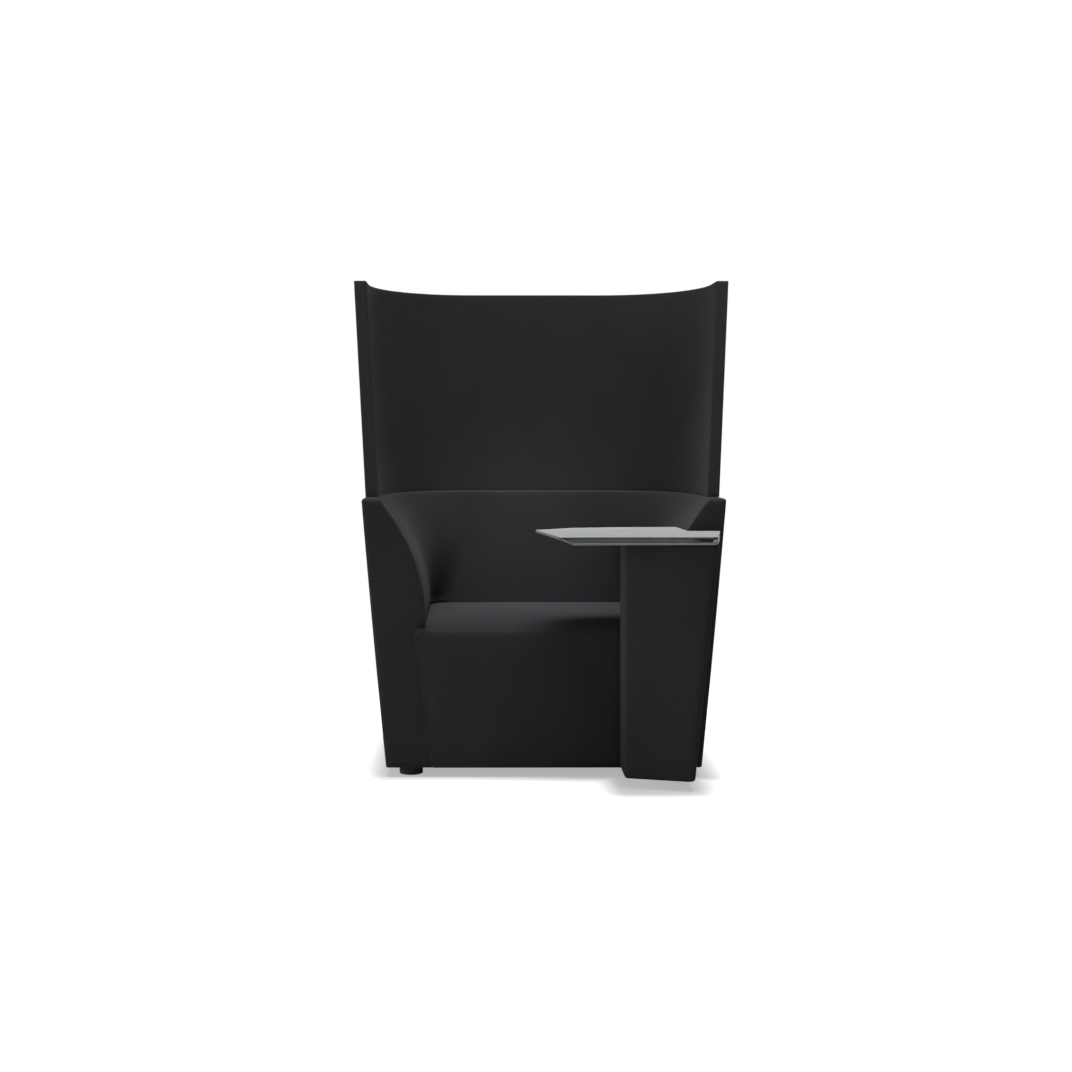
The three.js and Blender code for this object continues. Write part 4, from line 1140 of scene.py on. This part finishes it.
def moulded_material(name, tint, roughness, grain, depth, metallic=0.0):
    """Laminate, plastic or plated metal: a fine speckle, uneven gloss and a slight grain."""
    if name in bpy.data.materials:
        return bpy.data.materials[name]
    material, nodes, links = node_material(name)
    shader = nodes["Principled BSDF"]
    coordinates = nodes.new("ShaderNodeTexCoord")
    speckle = nodes.new("ShaderNodeGroup")
    speckle.node_tree = speckle_group()
    speckle.inputs["Grain"].default_value = grain
    links.new(coordinates.outputs["Object"], speckle.inputs["Place"])
    ramp = nodes.new("ShaderNodeValToRGB")
    ramp.color_ramp.elements[0].position = 0.35
    ramp.color_ramp.elements[0].color = (*[c * (1 - TINT_SPREAD) for c in tint], 1)
    ramp.color_ramp.elements[1].position = 0.65
    ramp.color_ramp.elements[1].color = (*[min(c * (1 + TINT_SPREAD), 1) for c in tint], 1)
    links.new(speckle.outputs["Speckle"], ramp.inputs["Fac"])
    links.new(ramp.outputs["Color"], shader.inputs["Base Color"])
    rough = nodes.new("ShaderNodeMapRange")
    rough.inputs["To Min"].default_value = max(roughness - GLOSS_SPREAD, 0.05)
    rough.inputs["To Max"].default_value = min(roughness + GLOSS_SPREAD, 1)
    links.new(speckle.outputs["Cloud"], rough.inputs["Value"])
    links.new(rough.outputs["Result"], shader.inputs["Roughness"])
    bump = nodes.new("ShaderNodeBump")
    bump.inputs["Strength"].default_value = 0.3
    bump.inputs["Distance"].default_value = depth
    links.new(speckle.outputs["Speckle"], bump.inputs["Height"])
    links.new(bump.outputs["Normal"], shader.inputs["Normal"])
    shader.inputs["Metallic"].default_value = metallic
    return material


def fabric():
    """Cloth of the tub, the seat and the pedestal."""
    colours = bpy.context.scene.lounge_colours
    return cloth_material("charcoal_cloth", colours.fabric, colours.fabric_light, FABRIC_THREADS)


def felt():
    """Cloth of the screen."""
    colours = bpy.context.scene.lounge_colours
    return cloth_material("screen_cloth", colours.felt, colours.felt_light, FELT_THREADS)


def thread():
    """Thread of the welts beside the apron, lighter than the cloth: a painted highlight along the
    seam.
    """
    colours = bpy.context.scene.lounge_colours
    return cloth_material("seam_thread", colours.thread, colours.thread_light, SEAM_THREADS)


def laminate():
    """Laminate of the tablet's faces."""
    tint = bpy.context.scene.lounge_colours.laminate
    return moulded_material("grey_laminate", tint, roughness=0.42, grain=1400, depth=0.00003)


def edge_painted_shade():
    """Darker laminate on the tablet's cut edges and side band: a painted shade on those faces."""
    tint = bpy.context.scene.lounge_colours.edge
    return moulded_material("tablet_edge_band", tint, roughness=0.5, grain=900, depth=0.00003)


# Tablet


def tablet_corners():
    """Corners of the tablet's outline as (x, depth), from its tip round by the front."""
    tablet = bpy.context.scene.lounge_tablet
    arm = scoop_inside(TOP_LOW.z).half - tablet.arm_clear
    return {
        "tip": tablet.tip[:],
        "front_left": tablet.front_left[:],
        "front_right": tablet.front_right[:],
        "back_right": (tablet.right_end, tablet.notch_depth),
        "notch": (arm + tablet.notch_step, tablet.notch_depth),
        "back_inner": (arm, tablet.arm_reach),
        "back_middle": tablet.back_middle[:],
        "back_left": tablet.back_left[:],
    }


def plate_from(bm, corners, low, high):
    """A flat plate with rounded corners of (x, depth, reach), between two heights."""
    ring = polygon_ring(corners, 1, 0)[:-1]
    verts = [bmesh.ops.create_vert(bm, co=p)["vert"][0] for p in placed(ring, low)]
    face = bmesh.ops.contextual_create(bm, geom=verts)["faces"][0]
    grown = bmesh.ops.extrude_face_region(bm, geom=[face])["geom"]
    top = [g for g in grown if isinstance(g, bmesh.types.BMVert)]
    bmesh.ops.translate(bm, verts=top, vec=(0, 0, high - low))
    bmesh.ops.recalc_face_normals(bm, faces=bm.faces[:])


def ease_edges(bm, reach):
    """Rounds the sharp edges of a plate a little."""
    sharp = [
        edge
        for edge in bm.edges
        if len(edge.link_faces) == 2 and edge.calc_face_angle() > PLATE_SHARP
    ]
    bmesh.ops.bevel(
        bm, geom=sharp, offset=reach, offset_type="OFFSET", segments=2, profile=0.5,
        affect="EDGES", material=-1, clamp_overlap=True,
    )


def corner_reach(name):
    """Reach of the rounding at one of the tablet's corners."""
    tablet = bpy.context.scene.lounge_tablet
    large = ("front_right", "back_right", "back_inner", "back_left")
    return tablet.outer_corner if name in large else tablet.corner


def tablet_top_plate(bm):
    """The tablet's top, bevelled from below along its front edge."""
    tablet = bpy.context.scene.lounge_tablet
    places = tablet_corners()
    corners = [(x, depth, corner_reach(name)) for name, (x, depth) in places.items()]
    plate_from(bm, corners, TOP_LOW.z, TOP_HIGH.z)
    left, right = Vector(places["front_left"]), Vector(places["front_right"])
    along = (right - left).normalized()
    rise = TOP_HIGH.z - TOP_LOW.z - tablet.knife
    plane = Vector((along.y * rise, -along.x * rise, -tablet.bevel)).normalized()
    point = Vector((left.x, FRONT + left.y, TOP_LOW.z + rise))
    everything = bm.verts[:] + bm.edges[:] + bm.faces[:]
    cut = bmesh.ops.bisect_plane(
        bm, geom=everything, dist=MERGE, plane_co=point, plane_no=plane, clear_outer=True
    )["geom_cut"]
    bmesh.ops.contextual_create(bm, geom=[g for g in cut if isinstance(g, bmesh.types.BMEdge)])
    bmesh.ops.recalc_face_normals(bm, faces=bm.faces[:])
    ease_edges(bm, tablet.ease)


def shelf_plate(bm):
    """The tablet's lower board, which stays back under the top at the left and behind."""
    tablet = bpy.context.scene.lounge_tablet
    inset = tablet.inset
    moves = {
        "tip": (tablet.tip_tuck, -inset / 2),
        "front_left": (tablet.tuck, 0),
        "notch": (-inset, 0),
        "back_inner": (-inset, -inset),
        "back_middle": (0, -inset),
        "back_left": (inset / 2, -inset),
    }
    corners = []
    for name, (x, depth) in tablet_corners().items():
        across, back = moves.get(name, (0, 0))
        corners.append((x + across, depth + back, corner_reach(name)))
    plate_from(bm, corners, SHELF_LOW.z, SHELF_HIGH.z)
    ease_edges(bm, tablet.ease)


def side_band(bm):
    """Leaning band that closes the tablet's left side between its two boards."""
    tablet = bpy.context.scene.lounge_tablet
    places = tablet_corners()
    tip, corner = Vector(places["tip"]), Vector(places["front_left"])
    along = (corner - tip).normalized()
    inwards = Vector((-along.y, along.x)) * tablet.ease * 2
    tip, corner = tip + along * tablet.corner + inwards, corner - along * tablet.corner + inwards
    behind = corner - along * (tablet.bevel - tablet.corner)
    knife = TOP_HIGH.z - tablet.knife - tablet.ease
    high = TOP_LOW.z + tablet.ease
    outline = [
        (tip, high),
        (behind, high),
        (corner, knife),
        (corner + Vector((tablet.tuck, 0)), SHELF_LOW.z + tablet.ease),
    ]
    verts = [
        bmesh.ops.create_vert(bm, co=(p.x, FRONT + p.y, z))["vert"][0] for p, z in outline
    ]
    bmesh.ops.contextual_create(bm, geom=verts)
    bmesh.ops.triangulate(bm, faces=bm.faces[:])
    bmesh.ops.recalc_face_normals(bm, faces=bm.faces[:])
    if sum(face.normal.x for face in bm.faces) > 0:
        bmesh.ops.reverse_faces(bm, faces=bm.faces[:])


# Operators


class LOUNGE_OT_tub(bpy.types.Operator):
    """Upholster the tub: arms and back in one"""

    bl_idname = "lounge.tub"
    bl_label = "Tub"

    def execute(self, context):
        bm = bmesh.new()
        tub_skin(bm)
        piece = finished("tub_upholstery", bm, fabric(), "chair")
        give_thickness(piece, context.scene.lounge_tub.cover)
        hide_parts("tub_cover")
        return {"FINISHED"}


class LOUNGE_OT_seat(bpy.types.Operator):
    """Upholster the seat block"""

    bl_idname = "lounge.seat"
    bl_label = "Seat"

    def execute(self, context):
        bm = bmesh.new()
        seat_skin(bm)
        piece = finished("seat_upholstery", bm, fabric(), "chair")
        swell(piece, held_on_seat, context.scene.lounge_seat.swell)
        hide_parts("seat_cushion")
        return {"FINISHED"}


class LOUNGE_OT_screen(bpy.types.Operator):
    """Cover the tall screen"""

    bl_idname = "lounge.screen"
    bl_label = "Screen"

    def execute(self, context):
        bm = bmesh.new()
        screen_skin(bm)
        piece = finished("screen_upholstery", bm, felt(), "chair")
        give_thickness(piece, context.scene.lounge_screen.cover)
        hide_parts("screen_cover")
        return {"FINISHED"}


class LOUNGE_OT_pedestal(bpy.types.Operator):
    """Upholster the pedestal"""

    bl_idname = "lounge.pedestal"
    bl_label = "Pedestal"

    def execute(self, context):
        bm = bmesh.new()
        pedestal_skin(bm)
        piece = finished("pedestal_upholstery", bm, fabric(), "chair")
        give_thickness(piece, context.scene.lounge_pedestal.cover)
        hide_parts("pedestal_cover")
        return {"FINISHED"}


class LOUNGE_OT_seams(bpy.types.Operator):
    """Sew the upright seams at the seat's sides and over the rear corners"""

    bl_idname = "lounge.seams"
    bl_label = "Seams"

    def execute(self, context):
        tub, screen = context.scene.lounge_tub, context.scene.lounge_screen
        tub_line = corner_line(
            tub_outside, tub.low + tub.hem_edge, tub.high - tub.rim_edge, tub_belly
        )
        screen_line = corner_line(
            screen_outside, screen.low + screen.foot_edge, screen.high - screen.edge,
            lambda height: 0,
        )
        seams = (
            ("tub_rear", tub.seam, fabric(), "upholstery", tub_line),
            ("screen_rear", tub.seam, felt(), "screen_felt", screen_line),
            # The welt's lighter thread is a painted highlight along the seam
            ("seat_side", tub.welt, thread(), "upholstery", seat_seam_line()),
        )
        for name, radius, material, slot, (points, outwards) in seams:
            for side, across in (("left", -1), ("right", 1)):
                bm = bmesh.new()
                mirrored = [Vector((p.x * across, p.y, p.z)) for p in points]
                turned = [Vector((o.x * across, o.y, o.z)) for o in outwards]
                bead(bm, mirrored, turned, radius)
                finished(f"{name}_seam_{side}", bm, material, "chair")
        return {"FINISHED"}


class LOUNGE_OT_tablet(bpy.types.Operator):
    """Make the tablet's top and shelf and the band at its left side"""

    bl_idname = "lounge.tablet"
    bl_label = "Tablet"

    def execute(self, context):
        for name, node, shape in (
            ("tablet_top_plate", "tablet_top", tablet_top_plate),
            ("tablet_shelf_plate", "tablet_shelf", shelf_plate),
        ):
            bm = bmesh.new()
            shape(bm)
            piece = finished(name, bm, laminate(), "tablet", smooth=False)
            # Upright faces take the darker edge material, a painted shade
            piece.data.materials.append(edge_painted_shade())
            for polygon in piece.data.polygons:
                polygon.material_index = 1 if abs(polygon.normal.z) < UPRIGHT else 0
            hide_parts(node)
        bm = bmesh.new()
        side_band(bm)
        # The side band takes the same darker painted shade
        band = finished(
            "tablet_side_band", bm, edge_painted_shade(), "tablet", smooth=False
        )
        give_thickness(band, context.scene.lounge_tablet.band)
        return {"FINISHED"}


class LOUNGE_OT_feet(bpy.types.Operator):
    """Turn the four round feet"""

    bl_idname = "lounge.feet"
    bl_label = "Feet"

    def execute(self, context):
        # The feet's tint is lighter than the plastic itself, a painted light for feet in the tub's
        # shade
        tint = context.scene.lounge_colours.plastic
        plastic = moulded_material("foot_plastic", tint, roughness=0.5, grain=900, depth=0.00004)
        for node in FEET:
            low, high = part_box(node)
            bm = bmesh.new()
            turn_foot(bm, low, high)
            piece = finished(node + "_turned", bm, plastic, "chair")
            piece.data.set_sharp_from_angle(angle=FOOT_SHARP)
            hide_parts(node)
        return {"FINISHED"}


def turn_foot(bm, low, high):
    """Spins the profile of one foot round its stud."""
    foot = bpy.context.scene.lounge_foot
    axis = Vector(((low.x + high.x) / 2, (low.y + high.y) / 2, 0))
    radius, edge, groove = foot.radius, foot.edge, foot.groove
    height = high.z
    profile = [(0, 0), (radius - edge, 0)]
    for a in quarter(FOOT_STEPS["edge"])[1:]:
        profile.append((radius - edge * (1 - math.sin(a)), edge * (1 - math.cos(a))))
    middle = height * foot.groove_height
    profile += [(radius, middle - groove), (radius - groove, middle - groove / 2)]
    profile += [(radius - groove, middle + groove / 2), (radius, middle + groove)]
    for a in quarter(FOOT_STEPS["edge"]):
        profile.append((radius - edge * (1 - math.cos(a)), height - edge * (1 - math.sin(a))))
    profile += [(foot.bore, height), (foot.bore, height / 2), (0, height / 2)]
    verts = [
        bmesh.ops.create_vert(bm, co=axis + Vector((r, 0, z)))["vert"][0] for r, z in profile
    ]
    edges = [bm.edges.new(pair) for pair in zip(verts, verts[1:])]
    bmesh.ops.spin(
        bm, geom=verts + edges, cent=axis, axis=(0, 0, 1), angle=2 * math.pi,
        steps=FOOT_STEPS["turn"], use_merge=True, use_duplicate=False,
    )
    close_skin(bm)


class LOUNGE_OT_frame_finishes(bpy.types.Operator):
    """Give the frame's boards, steel and bearings their finishes"""

    bl_idname = "lounge.frame_finishes"
    bl_label = "Frame finishes"

    def execute(self, context):
        colours = context.scene.lounge_colours
        for part in frame["record"]["subparts"]:
            slot = part["material_slot"]
            if slot in FRAME_FINISHES:
                finish = moulded_material(tint=getattr(colours, slot), **FRAME_FINISHES[slot])
            elif slot == "tablet_laminate":
                finish = laminate()
            else:
                continue
            mesh = frame["nodes"][part["node"]].data
            mesh.materials.clear()
            mesh.materials.append(finish)
        return {"FINISHED"}


class LOUNGE_OT_stage(bpy.types.Operator):
    """Lay the pale floor and set the lights and the camera"""

    bl_idname = "lounge.stage"
    bl_label = "Stage"

    def execute(self, context):
        scene = context.scene
        scene.view_settings.view_transform = "Standard"
        lay_floor(scene.lounge_stage)
        light_world(scene.lounge_stage)
        hang_lights(scene.lounge_stage)
        place_camera(scene.lounge_stage)
        return {"FINISHED"}


def outside_box_group():
    """Distance of a place on the floor from a box, seen from above."""
    group = bpy.data.node_groups.new("distance_outside_box", "ShaderNodeTree")
    face = group.interface
    for name in ("Place", "Middle", "Half"):
        face.new_socket(name, in_out="INPUT", socket_type="NodeSocketVector")
    face.new_socket("Distance", in_out="OUTPUT", socket_type="NodeSocketFloat")
    nodes, links = group.nodes, group.links
    given = nodes.new("NodeGroupInput")
    result = nodes.new("NodeGroupOutput")

    def vector_node(operation, first, second):
        node = nodes.new("ShaderNodeVectorMath")
        node.operation = operation
        links.new(first, node.inputs[0])
        if second is not None:
            links.new(second, node.inputs[1])
        return node.outputs["Value" if operation == "LENGTH" else "Vector"]

    offset = vector_node("SUBTRACT", given.outputs["Place"], given.outputs["Middle"])
    size = vector_node("ABSOLUTE", offset, None)
    past = vector_node("SUBTRACT", size, given.outputs["Half"])
    outside = nodes.new("ShaderNodeVectorMath")
    outside.operation = "MAXIMUM"
    outside.inputs[1].default_value = (0, 0, 0)
    links.new(past, outside.inputs[0])
    links.new(vector_node("LENGTH", outside.outputs[0], None), result.inputs["Distance"])
    return group


def lay_floor(stage):
    """Lays the round floor, which isn't part of the chair."""
    bm = bmesh.new()
    bmesh.ops.create_circle(
        bm, cap_ends=True, segments=FLOOR_STEPS, radius=stage.floor_radius
    )
    mesh = bpy.data.meshes.new("floor")
    bm.to_mesh(mesh)
    bm.free()
    floor = bpy.data.objects.new("floor", mesh)
    bpy.context.scene.collection.objects.link(floor)
    mesh.materials.append(floor_material(stage))


def footprints():
    """Outlines of the tub's and the pedestal's hems as low x, low y, high x, high y, round which
    the floor paints its shadow.
    """
    tub = bpy.context.scene.lounge_tub
    pedestal = bpy.context.scene.lounge_pedestal
    reach = pedestal.left_depth + pedestal.slope * (pedestal.floor_right - pedestal.left)
    return (
        (-tub.floor_half, FRONT, tub.floor_half, FRONT + tub.floor_back),
        (pedestal.left, FRONT - reach, pedestal.floor_right, FRONT),
    )


def floor_material(stage):
    """Pale floor that keeps the cast shadow close round the chair, adds a painted shadow where its
    camera glow weakens near the footprints, and is white farther out.
    """
    material, nodes, links = node_material("pale_floor")
    shader = nodes["Principled BSDF"]
    shader.inputs["Base Color"].default_value = (*stage.floor, 1)
    shader.inputs["Roughness"].default_value = 0.9
    shader.inputs["Specular IOR Level"].default_value = 0.0
    coordinates = nodes.new("ShaderNodeTexCoord")
    measure = outside_box_group()
    nearest = math_node(nodes, "MINIMUM")
    for i, (low_x, low_y, high_x, high_y) in enumerate(footprints()):
        box = nodes.new("ShaderNodeGroup")
        box.node_tree = measure
        box.inputs["Middle"].default_value = ((low_x + high_x) / 2, (low_y + high_y) / 2, 0)
        box.inputs["Half"].default_value = ((high_x - low_x) / 2, (high_y - low_y) / 2, 1)
        links.new(coordinates.outputs["Object"], box.inputs["Place"])
        links.new(box.outputs["Distance"], nearest.inputs[i])

    def rising(start, end, least, most):
        share = nodes.new("ShaderNodeMapRange")
        share.interpolation_type = "SMOOTHSTEP"
        share.inputs["From Min"].default_value = start
        share.inputs["From Max"].default_value = end
        share.inputs["To Min"].default_value = least
        share.inputs["To Max"].default_value = most
        links.new(nearest.outputs[0], share.inputs["Value"])
        return share.outputs["Result"]

    seen = nodes.new("ShaderNodeLightPath")

    def seen_only(value):
        shown = math_node(nodes, "MULTIPLY")
        links.new(value, shown.inputs[0])
        links.new(seen.outputs["Is Camera Ray"], shown.inputs[1])
        return shown.outputs[0]

    glow = nodes.new("ShaderNodeEmission")
    # Weaker glow near the footprints: painted shadow round the chair
    shade = rising(0, stage.shadow_reach, stage.shade, stage.glow)
    links.new(seen_only(shade), glow.inputs["Strength"])
    lit = nodes.new("ShaderNodeAddShader")
    links.new(shader.outputs[0], lit.inputs[0])
    links.new(glow.outputs[0], lit.inputs[1])
    white = nodes.new("ShaderNodeEmission")
    mixed = nodes.new("ShaderNodeMixShader")
    links.new(seen_only(rising(stage.white_from, stage.white_to, 0, 1)), mixed.inputs["Fac"])
    links.new(lit.outputs[0], mixed.inputs[1])
    links.new(white.outputs[0], mixed.inputs[2])
    links.new(mixed.outputs[0], nodes["Material Output"].inputs["Surface"])
    return material


def light_world(stage):
    """Even faint light from all round, shown to the camera as white."""
    world = bpy.data.worlds.new("studio")
    bpy.context.scene.world = world
    world.use_nodes = True
    nodes, links = world.node_tree.nodes, world.node_tree.links
    background = nodes["Background"]
    background.inputs["Color"].default_value = (1, 1, 1, 1)
    seen = nodes.new("ShaderNodeLightPath")
    strength = nodes.new("ShaderNodeMapRange")
    strength.inputs["To Min"].default_value = stage.world
    strength.inputs["To Max"].default_value = 1
    links.new(seen.outputs["Is Camera Ray"], strength.inputs["Value"])
    links.new(strength.outputs["Result"], background.inputs["Strength"])


@dataclass
class Lamp:
    """A lamp of the studio: an area where it has a size, and otherwise a soft spot."""

    name: str
    power: str
    place: tuple
    aim: tuple
    size: tuple = ()
    beam_degrees: float = 0


# Middle of the faint light between the tablet's boards, and of the pedestal's inner face

SLOT_X = TOP_LOW.lerp(TOP_HIGH, 0.5).x
SLOT_Y = TOP_LOW.y + 0.12
PEDESTAL_MIDDLE = (PEDESTAL_LOW.x, (PEDESTAL_LOW.y + FRONT) / 2, 0.42)

# Lamps in order, each with the property that holds its power, its place and what it points at

LAMPS = (
    Lamp("top_light", "top_power", (0, -0.5, 8.0), (0, 0, 0.5), size=(4.4, 4.4)),
    Lamp("left_light", "left_power", (-6.0, -1.0, 1.6), (0, -0.1, 0.6), size=(2.6, 2.6)),
    Lamp("front_light", "front_power", (0, -7.0, 1.4), (0, 0, 0.6), size=(3.0, 3.0)),
    Lamp("back_light", "back_power", (2.0, 7.0, 1.4), (0, 0, 0.6), size=(3.0, 3.0)),
    Lamp("tub_light", "tub_power", (-0.1, -2.3, 5.7), (-0.03, 0.2, 0.58), beam_degrees=7.9),
    Lamp("arm_light", "arm_power", (3.0, -0.25, 3.4), (-0.38, -0.02, 0.63), beam_degrees=6.8),
    Lamp("wing_light", "wing_power", (-4.0, -0.25, 4.5), (0.45, -0.05, 0.8), beam_degrees=6.0),
    Lamp(
        "pedestal_light", "pedestal_power", (-5.0, -0.6, 0.36), PEDESTAL_MIDDLE,
        beam_degrees=7.6,
    ),
    Lamp(
        "slot_light", "slot_power", (SLOT_X, SLOT_Y, TOP_LOW.z - TINY), (SLOT_X, SLOT_Y, 0),
        size=(0.34, 0.14),
    ),
)


def hang_lights(stage):
    """Hangs the lamps, none of which the camera sees."""
    for lamp in LAMPS:
        light = bpy.data.lights.new(lamp.name, "AREA" if lamp.size else "SPOT")
        light.energy = getattr(stage, lamp.power)
        if lamp.size:
            light.shape = "RECTANGLE"
            light.size, light.size_y = lamp.size
        else:
            light.spot_size = math.radians(lamp.beam_degrees)
            light.spot_blend = 1.0
            light.shadow_soft_size = SPOT_RADIUS
            light.use_shadow = False
        hung = bpy.data.objects.new(lamp.name, light)
        hung.location = lamp.place
        hung.rotation_mode = "QUATERNION"
        hung.rotation_quaternion = (
            (Vector(lamp.aim) - Vector(lamp.place)).to_track_quat("-Z", "Y")
        )
        hung.visible_camera = False
        bpy.context.scene.collection.objects.link(hung)


def place_camera(stage):
    """Sets the level camera at the photograph's viewing angle."""
    data = bpy.data.cameras.new("camera")
    data.sensor_width = SENSOR_WIDTH
    data.lens = stage.focal_pixels * data.sensor_width / stage.image_pixels
    data.shift_x = (stage.image_pixels / 2 - stage.centre_pixel) / stage.image_pixels
    data.shift_y = (stage.eye_pixel - stage.image_pixels / 2) / stage.image_pixels
    data.clip_end = FAR_LIMIT
    camera = bpy.data.objects.new("camera", data)
    camera.location = (stage.eye_x, FRONT - stage.eye_distance, stage.eye_height)
    camera.rotation_euler = (math.pi / 2, 0, -stage.yaw)
    bpy.context.scene.collection.objects.link(camera)
    bpy.context.scene.camera = camera


class LOUNGE_PT_panel(bpy.types.Panel):
    """Lists the chair's pieces"""

    bl_idname = "LOUNGE_PT_panel"
    bl_label = "Lounge chair"
    bl_space_type = "VIEW_3D"
    bl_region_type = "UI"
    bl_category = "Lounge chair"

    def draw(self, context):
        for operator in OPERATORS:
            self.layout.operator(operator.bl_idname)


OPERATORS = (
    LOUNGE_OT_tub,
    LOUNGE_OT_seat,
    LOUNGE_OT_screen,
    LOUNGE_OT_pedestal,
    LOUNGE_OT_seams,
    LOUNGE_OT_tablet,
    LOUNGE_OT_feet,
    LOUNGE_OT_frame_finishes,
    LOUNGE_OT_stage,
)


def register():
    for group in GROUPS.values():
        bpy.utils.register_class(group)
    for name, group in GROUPS.items():
        setattr(bpy.types.Scene, name, bpy.props.PointerProperty(type=group))
    for operator in OPERATORS:
        bpy.utils.register_class(operator)
    bpy.utils.register_class(LOUNGE_PT_panel)


def unregister():
    bpy.utils.unregister_class(LOUNGE_PT_panel)
    for operator in reversed(OPERATORS):
        bpy.utils.unregister_class(operator)
    for name, group in reversed(GROUPS.items()):
        delattr(bpy.types.Scene, name)
        bpy.utils.unregister_class(group)


def main():
    register()
    bpy.ops.lounge.tub()
    bpy.ops.lounge.seat()
    bpy.ops.lounge.screen()
    bpy.ops.lounge.pedestal()
    bpy.ops.lounge.seams()
    bpy.ops.lounge.tablet()
    bpy.ops.lounge.feet()
    bpy.ops.lounge.frame_finishes()
    bpy.ops.lounge.stage()


if __name__ == "__main__":
    main()
